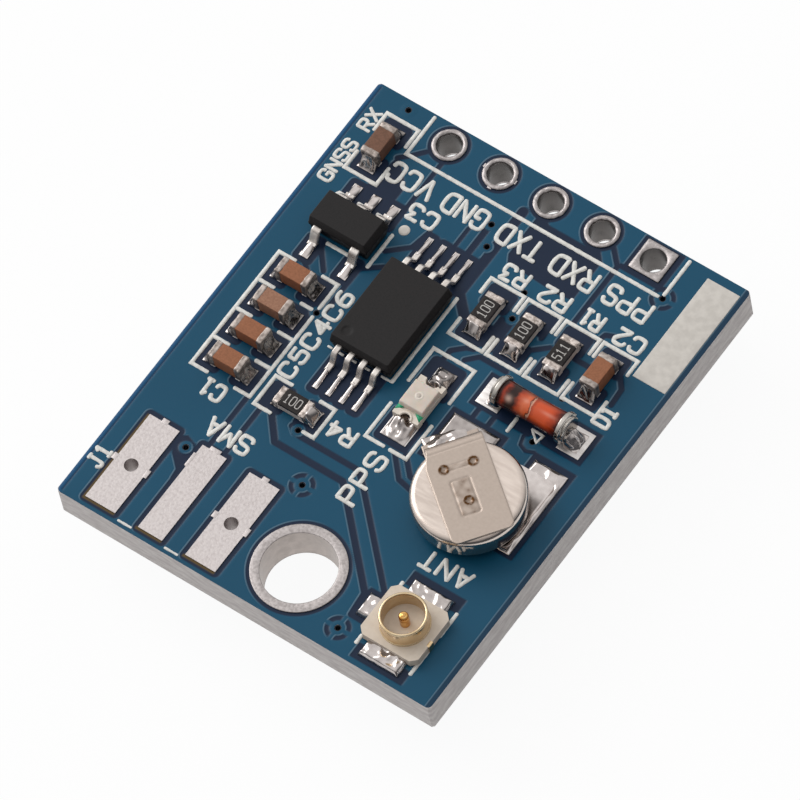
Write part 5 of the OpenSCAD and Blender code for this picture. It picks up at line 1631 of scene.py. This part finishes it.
class BOARD_OT_packages(Operator):
    """Replaces the moulded bodies and the leads of the memory and the regulator"""

    bl_idname = "board.packages"
    bl_label = "Moulded packages"

    def execute(self, context):
        self.leads("memory", MEMORY_PITCH, (4, 4), 0.24, MEMORY_LEAD_W)
        self.leads("regulator", REGULATOR_PITCH, (3, 2), 0.04, REGULATOR_LEAD_W)
        low, high = box_mm("memory_body")
        dimple = (low[0] + 0.55, low[1] + 0.55, 0.25)
        body = moulded_body(low, high, 0.08, dimple)
        make_piece("memory_moulding", body, "epoxy_black", stands_for=("memory_body",))
        low, high = box_mm("regulator_body")
        body = moulded_body(low, high, 0.08)
        make_piece("regulator_moulding", body, "epoxy_black", stands_for=("regulator_body",))
        return {"FINISHED"}

    def leads(self, package, pitch, counts, shoulder, width):
        """Gull-wing leads: out of the body at mid height, down a slope past the shoulder, and along
        the land.
        """
        low, high = box_mm(package + "_leads")
        body_low, body_high = box_mm(package + "_body")
        half = (body_high[1] - body_low[1]) / 2
        y = (body_low[1] + body_high[1]) / 2
        exit_z, foot_z = high[2] - LEAD_T / 2, low[2] + LEAD_T / 2
        parts = []
        for (x, toe_y), out in lead_places(package + "_leads", pitch, counts):
            toe = abs(toe_y - y)
            bend = half + shoulder
            path = [(half - 0.06, exit_z), (bend, exit_z), (bend + 0.14, exit_z - 0.03)]
            path += [(bend + 0.34, foot_z + 0.04), (bend + 0.48, foot_z), (toe, foot_z)]
            parts.append(bent_strip(path, width, LEAD_T, (x, y), out))
        make_piece(package + "_wings", joined(parts), "lead_tin",
                   stands_for=(package + "_leads",))


class BOARD_OT_lamp(Operator):
    """Replaces the lamp's lens and adds its green cathode mark"""

    bl_idname = "board.lamp"
    bl_label = "Lamp"

    def execute(self, context):
        low, high = box_mm("led_lens")
        low = low + (0, 0.1, 0)
        points, blocks, _ = soft_box(low, high, 0.06, 5, 6)
        rise = (points[:, 2] - low[2]) / (high[2] - low[2])
        centre = (low + high)[:2] / 2
        shrink = 1 - 0.05 * rise[:, None] / (high - low)[:2] * 2
        points[:, :2] = centre + (points[:, :2] - centre) * shrink
        make_piece("lamp_lens", (points, blocks), "lamp_epoxy", stands_for=("led_lens",))
        top = high[2]
        ring = [(0.19, top - 0.01), (0.185, top + 0.003), (0.1, top + 0.004), (0.09, top - 0.01)]
        cup = lathe(ring, centre, 48)
        make_piece("lamp_cup", cup, "lamp_cup")
        die = lathe([(0.1, top - 0.01), (0.09, top + 0.002), (0.0, top + 0.003)], centre, 40)
        make_piece("lamp_die", die, "lamp_die")
        self.front()
        return {"FINISHED"}

    def front(self):
        """Green corners of the cathode end, and the round lip of its notch: half a torus of radii
        0.27 and 0.055.
        """
        low, high = box_mm("led_ends")
        (x0, y0), x1, level = low[:2], high[0], high[2]
        corners = (
            ((x0 + 0.01, y0 + 0.16), (x0 + 0.3, y0 + 0.4), (x0 + 0.3, y0 + 0.56), (x0 + 0.01, y0 + 0.56)),
            ((x1 - 0.01, y0 + 0.12), (x1 - 0.01, y0 + 0.56), (x1 - 0.38, y0 + 0.56), (x1 - 0.38, y0 + 0.4)),
        )
        marks = [prism(outline, level - 0.03, level + 0.006) for outline in corners]
        make_piece("lamp_mark", joined(marks), "lamp_green")
        around = np.linspace(0, 2 * np.pi, 12, endpoint=False)
        a, b = np.meshgrid(np.linspace(0, np.pi, 25), around, indexing="ij")
        far = 0.27 + 0.055 * np.cos(b)
        x, y, z = (x0 + x1) / 2 + far * np.cos(a), y0 + far * np.sin(a), level + 0.055 * np.sin(b)
        points = np.stack([x, y, z], axis=-1)
        lip = (points.reshape(-1, 3), [grid_quads(*a.shape, closed=True)[:, ::-1]])
        make_piece("lamp_lip", lip, "lamp_laminate")


class BOARD_OT_diode(Operator):
    """Replaces the diode's glass with a sleeve that carries its dark band and the red of its slugs"""

    bl_idname = "board.diode"
    bl_label = "Diode"

    def execute(self, context):
        low, high = box_mm("diode_glass")
        r = (high[2] - low[2]) / 2
        _, y, z = (low + high) / 2
        length = high[0] - low[0]
        run = np.linspace(0, length, 80)
        waist = r - 0.03 * np.sin(np.pi * run / length) ** 2
        profile = [(0.0, 0.0)] + list(zip(waist, run)) + [(0.0, length)]
        points, blocks = lathe(profile, (0, 0), 72)
        along = points[:, 2] / length
        lean = np.arctan2(points[:, 0], points[:, 1])
        # painted shade: darker down both flanks, on either side of a lit crown
        marks = {"along": along, "flank_shade": 0.8 * smooth(np.abs(lean + 0.35), 0.55, 1.25), "glint": 0 * along}
        # painted highlights: pale streaks on the glass
        for share, at, wide, turn, tall in DIODE_GLINTS:
            marks["glint"] += share * np.exp(-(((along - at) / wide) ** 2) - ((lean - turn) / tall) ** 2)
        points = np.stack([low[0] + points[:, 2], y + points[:, 0], z + points[:, 1]], axis=-1)
        sleeve_finish()
        make_piece("diode_sleeve", (points, blocks), "diode_red_glass", marks,
                   stands_for=("diode_glass",))
        self.caps(y, z)
        return {"FINISHED"}

    def caps(self, y, z):
        """Drawn end caps, turned about the diode's axis: a round-edged cup, a groove and a smaller
        domed end.
        """
        low, high = box_mm("diode_caps")
        r, length = (high[2] - low[2]) / 2, 0.35
        profile = [(r - 0.14, -0.01), (r - 0.03, 0.0)] + arc((r - 0.04, 0.04), 0.04, -60, 0, 4)
        profile += arc((r - 0.05, 0.16), 0.05, 0, 80, 5) + [(r - 0.12, 0.225), (r - 0.13, 0.24)]
        profile += arc((r - 0.16, 0.3), 0.05, -40, 90, 6) + [(0.3, length - 0.004), (0, length)]
        points, blocks = lathe(profile, (0, 0), 72)
        right = np.stack([high[0] - length + points[:, 2], y + points[:, 0], z + points[:, 1]], axis=-1)
        left = np.stack([low[0] + length - points[:, 2], y + points[:, 0], z + points[:, 1]], axis=-1)
        parts = [(right, blocks), (left, [block[:, ::-1] for block in blocks])]
        make_piece("diode_cups", joined(parts), "cap_steel", stands_for=("diode_caps",))


class BOARD_OT_cell(Operator):
    """Replaces the cell's can and tabs; the top tab is a bent sheet with weld pits and a pressed frame"""

    bl_idname = "board.cell"
    bl_label = "Backup cell"

    def execute(self, context):
        low, high = box_mm("cell_top_tab")
        half, thick, wrap, bend = 1.32, 0.12, 0.366, 0.15
        top, foot = high[2] - thick / 2 - 0.006, low[2] + thick / 2
        path = [(-2.2, top)] + arc((2.1, top - wrap), wrap, 90, 0, 10)
        path += arc((2.1 + wrap + bend, foot + bend), bend, 180, 270, 7)
        path = even_path(path + [(3.36, foot)], 0.035)
        ahead = unit(np.gradient(path, axis=0))
        across = np.linspace(1, -1, 81)
        near = np.clip(0.3 - (path[:, 0] + 2.2), 0, 0.3)
        wide = (half - 0.3 + np.sqrt(0.09 - near**2))[:, None]
        taper = 1 - 0.18 * smooth(path[:, :1], 1.3, 2.3) * smooth(across, 0.2, 0.8)
        s, t = np.broadcast_arrays(path[:, :1], across * wide * taper)
        press, heat = self.relief(s, t)
        press *= path[:, 1:] > top - 1e-6
        lift = thick / 2 - press - 0.02 * smooth(np.abs(across), 0.975, 1.0)
        t = np.hstack([t[:, :1], t, t[:, -1:]])
        lift = np.pad(lift, ((0, 0), (1, 1)), constant_values=-thick / 2)
        heat = np.pad(heat, ((0, 0), (1, 1)))
        run = path[:, :1] - ahead[:, 1:] * lift
        z = path[:, 1:] + ahead[:, :1] * lift
        out = np.array([np.cos(TAB_TURN), np.sin(TAB_TURN)])
        side = np.array([-out[1], out[0]])
        flat = middle("cell_can")[:2] + run[..., None] * out + t[..., None] * side
        points = np.concatenate([flat, z[..., None]], axis=-1).reshape(-1, 3)
        columns = t.shape[1]
        first = np.arange(columns)
        last = first + len(points) - columns
        blocks = [grid_quads(len(path), columns, closed=True), first[None, ::-1], last[None]]
        marks = {"weld": heat.ravel()}
        tab = make_piece("cell_strap", (points, blocks), "nickel_welded", marks,
                         stands_for=("cell_top_tab",))
        hold_flats(tab, 50)
        self.can()
        self.sheet()
        return {"FINISHED"}

    def can(self):
        """Drawn can, turned about its axis: a flat top, a round rim, a side that leans in and a round
        lower edge.
        """
        low, high = box_mm("cell_can")
        r, edge = (high[0] - low[0]) / 2, 0.3
        profile = [(0, low[2]), (r - edge - 0.05, low[2])]
        profile += arc((r - edge - 0.03, low[2] + edge), edge, -90, 0, 8)
        profile += [(r - 0.03, low[2] + edge + 0.1), (r - 0.004, low[2] + edge + 0.2)]
        rim = arc((r - edge, high[2] - edge), edge, 0, 90, 14)
        side = lathe(profile + rim[:8], (CELL_X, CELL_Y), 128)
        make_piece("cell_shell", side, "nickel_bright", stands_for=("cell_can",))
        face = rim[7:] + [(far, high[2]) for far in np.linspace(r - edge - 0.02, 0, 12)]
        make_piece("cell_face", lathe(face, (CELL_X, CELL_Y), 128), "nickel_satin")

    def sheet(self):
        """Lower tab: rounded rectangles drawn in from its rim to its middle, rougher and darkened by painted
        shade and a painted dark reflection of the can where it runs in under the can.
        """
        low, high = box_mm("cell_bottom_tab")
        outline = round_outline((high - low)[:2] / 2, 0.3, 120)
        share = np.concatenate([[0.0, 1.0], np.linspace(1.0, 0.0, 30)])
        flat = (low + high)[:2] / 2 + share[:, None, None] * outline
        level = np.where(np.arange(len(share)) < 2, low[2], high[2])
        z = np.broadcast_to(level[:, None, None], flat.shape[:2] + (1,))
        points = np.concatenate([flat, z], axis=-1).reshape(-1, 3)
        # painted shade and dark reflection of the can, towards the part under the can
        inward = smooth(high[1] - 0.5 - points[:, 1], 0, 0.8)
        shade_and_matte = 0.95 * inward * (1 - smooth(points[:, 0] - high[0], -0.1, -0.04))
        blocks = [grid_quads(len(share), 120, closed=True)]
        piece = make_piece("cell_sheet", (points, blocks), "solder_joint", {"shade_and_matte": shade_and_matte},
                           stands_for=("cell_bottom_tab",))
        hold_flats(piece)

    def relief(self, s, t):
        """Depth pressed into the tab along s and across t, and the heat marks of the three welds.

        The frame is a groove along a rounded rectangle, with a bar between the upper welds and a crease
        before the bend. Each weld is a pit of depth 0.03 with a ring round it, brown at the ring.
        """
        along, across = np.abs(s + 0.28) - 0.73, np.abs(t - 0.17) - 0.3
        inside = np.minimum(np.maximum(along, across), 0)
        box = np.hypot(np.maximum(along, 0), np.maximum(across, 0)) + inside - 0.1
        bar = smooth(0.5 - np.abs(t - 0.02), 0, 0.1)
        press = 0.017 * smooth(0.08 - np.abs(box), 0, 0.08)
        press += 0.012 * bar * smooth(0.06 - np.abs(np.abs(s - 1.16) - 0.12), 0, 0.06)
        press += 0.014 * smooth(0.05 - np.abs(s - 2.0), 0, 0.05)
        spots = 0.5 + 0.5 * ripple(np.stack([s, t], axis=-1), 0.45, 81)
        tinted = np.maximum(smooth(-box, -0.08, 0.05), bar * smooth(0.14 - np.abs(s - 1.16), 0, 0.05))
        heat = 0.42 * spots * tinted
        for at_s, at_t in ((1.155, -0.59), (1.17, 0.636), (-0.49, 0.096)):
            far = np.hypot(s - at_s, t - at_t)
            press += 0.03 * smooth(0.15 - far, 0, 0.08) - 0.006 * smooth(0.06 - np.abs(far - 0.2), 0, 0.05)
            ring = smooth(0.11 - np.abs(far - 0.17), 0, 0.09)
            heat = np.maximum(heat, np.maximum(ring, 0.5 * smooth(0.2 - far, 0, 0.06)))
        return press, heat


class BOARD_OT_socket(Operator):
    """Rounds the aerial socket's ring and pin, and adds the foot at its side"""

    bl_idname = "board.socket"
    bl_label = "Aerial socket"

    def execute(self, context):
        centre = (SOCKET_X, SOCKET_Y)
        top, base = box_mm("coax_shell")[1][2], box_mm("coax_body")[1][2]
        ring = [(1.05, base - 0.02), (1.05, base + 0.03)] + arc((1.02, base + 0.03), 0.03, 0, 80, 5)
        ring += [(1.012, base + 0.08), (1.006, base + 0.2)] + arc((0.94, top - 0.066), 0.066, 0, 180, 14)
        ring += [(0.874, base - 0.02)]
        hold_flats(make_piece("socket_lip", lathe(ring, centre, 120, closed=True), "gold_flash"))
        side = box_mm("coax_body")[1][0]
        inner = (side - 0.1, SOCKET_Y - 0.38, TOP_Z + 0.02)
        foot = soft_box(inner, (side + 0.05, SOCKET_Y - 0.08, base + 0.004), 0.02)[:2]
        make_piece("socket_side_foot", foot, "gold_flash")
        pin_top = box_mm("coax_pin")[1][2]
        tip = [(0.213, pin_top - 0.3), (0.216, pin_top - 0.26), (0.17, pin_top - 0.2)]
        tip += arc((0.0, pin_top - 0.13), 0.16, 10, 90, 8)
        make_piece("socket_pin_tip", lathe(tip, centre, 48), "gold_pin")
        return {"FINISHED"}


class BOARD_OT_receiver(Operator):
    """Replaces the receiver's shield with a drawn, round-edged can"""

    bl_idname = "board.receiver"
    bl_label = "Receiver"

    def execute(self, context):
        low, high = box_mm("receiver_shield")
        can = soft_box(low, high, 0.3, 6, 8)[:2]
        make_piece("receiver_can", can, "shield_tin", stands_for=("receiver_shield",))
        return {"FINISHED"}


OPERATORS = (
    BOARD_OT_stage, BOARD_OT_finishes, BOARD_OT_solder_mask, BOARD_OT_print, BOARD_OT_plating,
    BOARD_OT_solder, BOARD_OT_chips, BOARD_OT_packages, BOARD_OT_lamp, BOARD_OT_diode, BOARD_OT_cell,
    BOARD_OT_socket, BOARD_OT_receiver,
)


class BOARD_PT_pieces(Panel):
    """Lists the board's operators and settings"""

    bl_label = "Positioning board"
    bl_idname = "BOARD_PT_pieces"
    bl_space_type = "VIEW_3D"
    bl_region_type = "UI"
    bl_category = "Board"

    def draw(self, context):
        for made in OPERATORS:
            self.layout.operator(made.bl_idname)
        for group in (context.scene.board.mask, context.scene.board.ink, context.scene.board.solder,
                      context.scene.board.stage):
            for key in group.__annotations__:
                self.layout.prop(group, key)


GROUPS = (MaskSettings, PrintSettings, SolderSettings, StageSettings, BoardSettings)
CLASSES = (*GROUPS, *OPERATORS, BOARD_PT_pieces)


def register():
    for made in CLASSES:
        bpy.utils.register_class(made)
    bpy.types.Scene.board = PointerProperty(type=BoardSettings)


def unregister():
    del bpy.types.Scene.board
    for made in reversed(CLASSES):
        bpy.utils.unregister_class(made)


def main():
    """Makes the pieces in order."""
    register()
    bpy.ops.board.stage()
    bpy.ops.board.finishes()
    bpy.ops.board.solder_mask()
    bpy.ops.board.print()
    bpy.ops.board.plating()
    bpy.ops.board.solder()
    bpy.ops.board.chips()
    bpy.ops.board.packages()
    bpy.ops.board.lamp()
    bpy.ops.board.diode()
    bpy.ops.board.cell()
    bpy.ops.board.socket()
    bpy.ops.board.receiver()


if __name__ == "__main__":
    main()
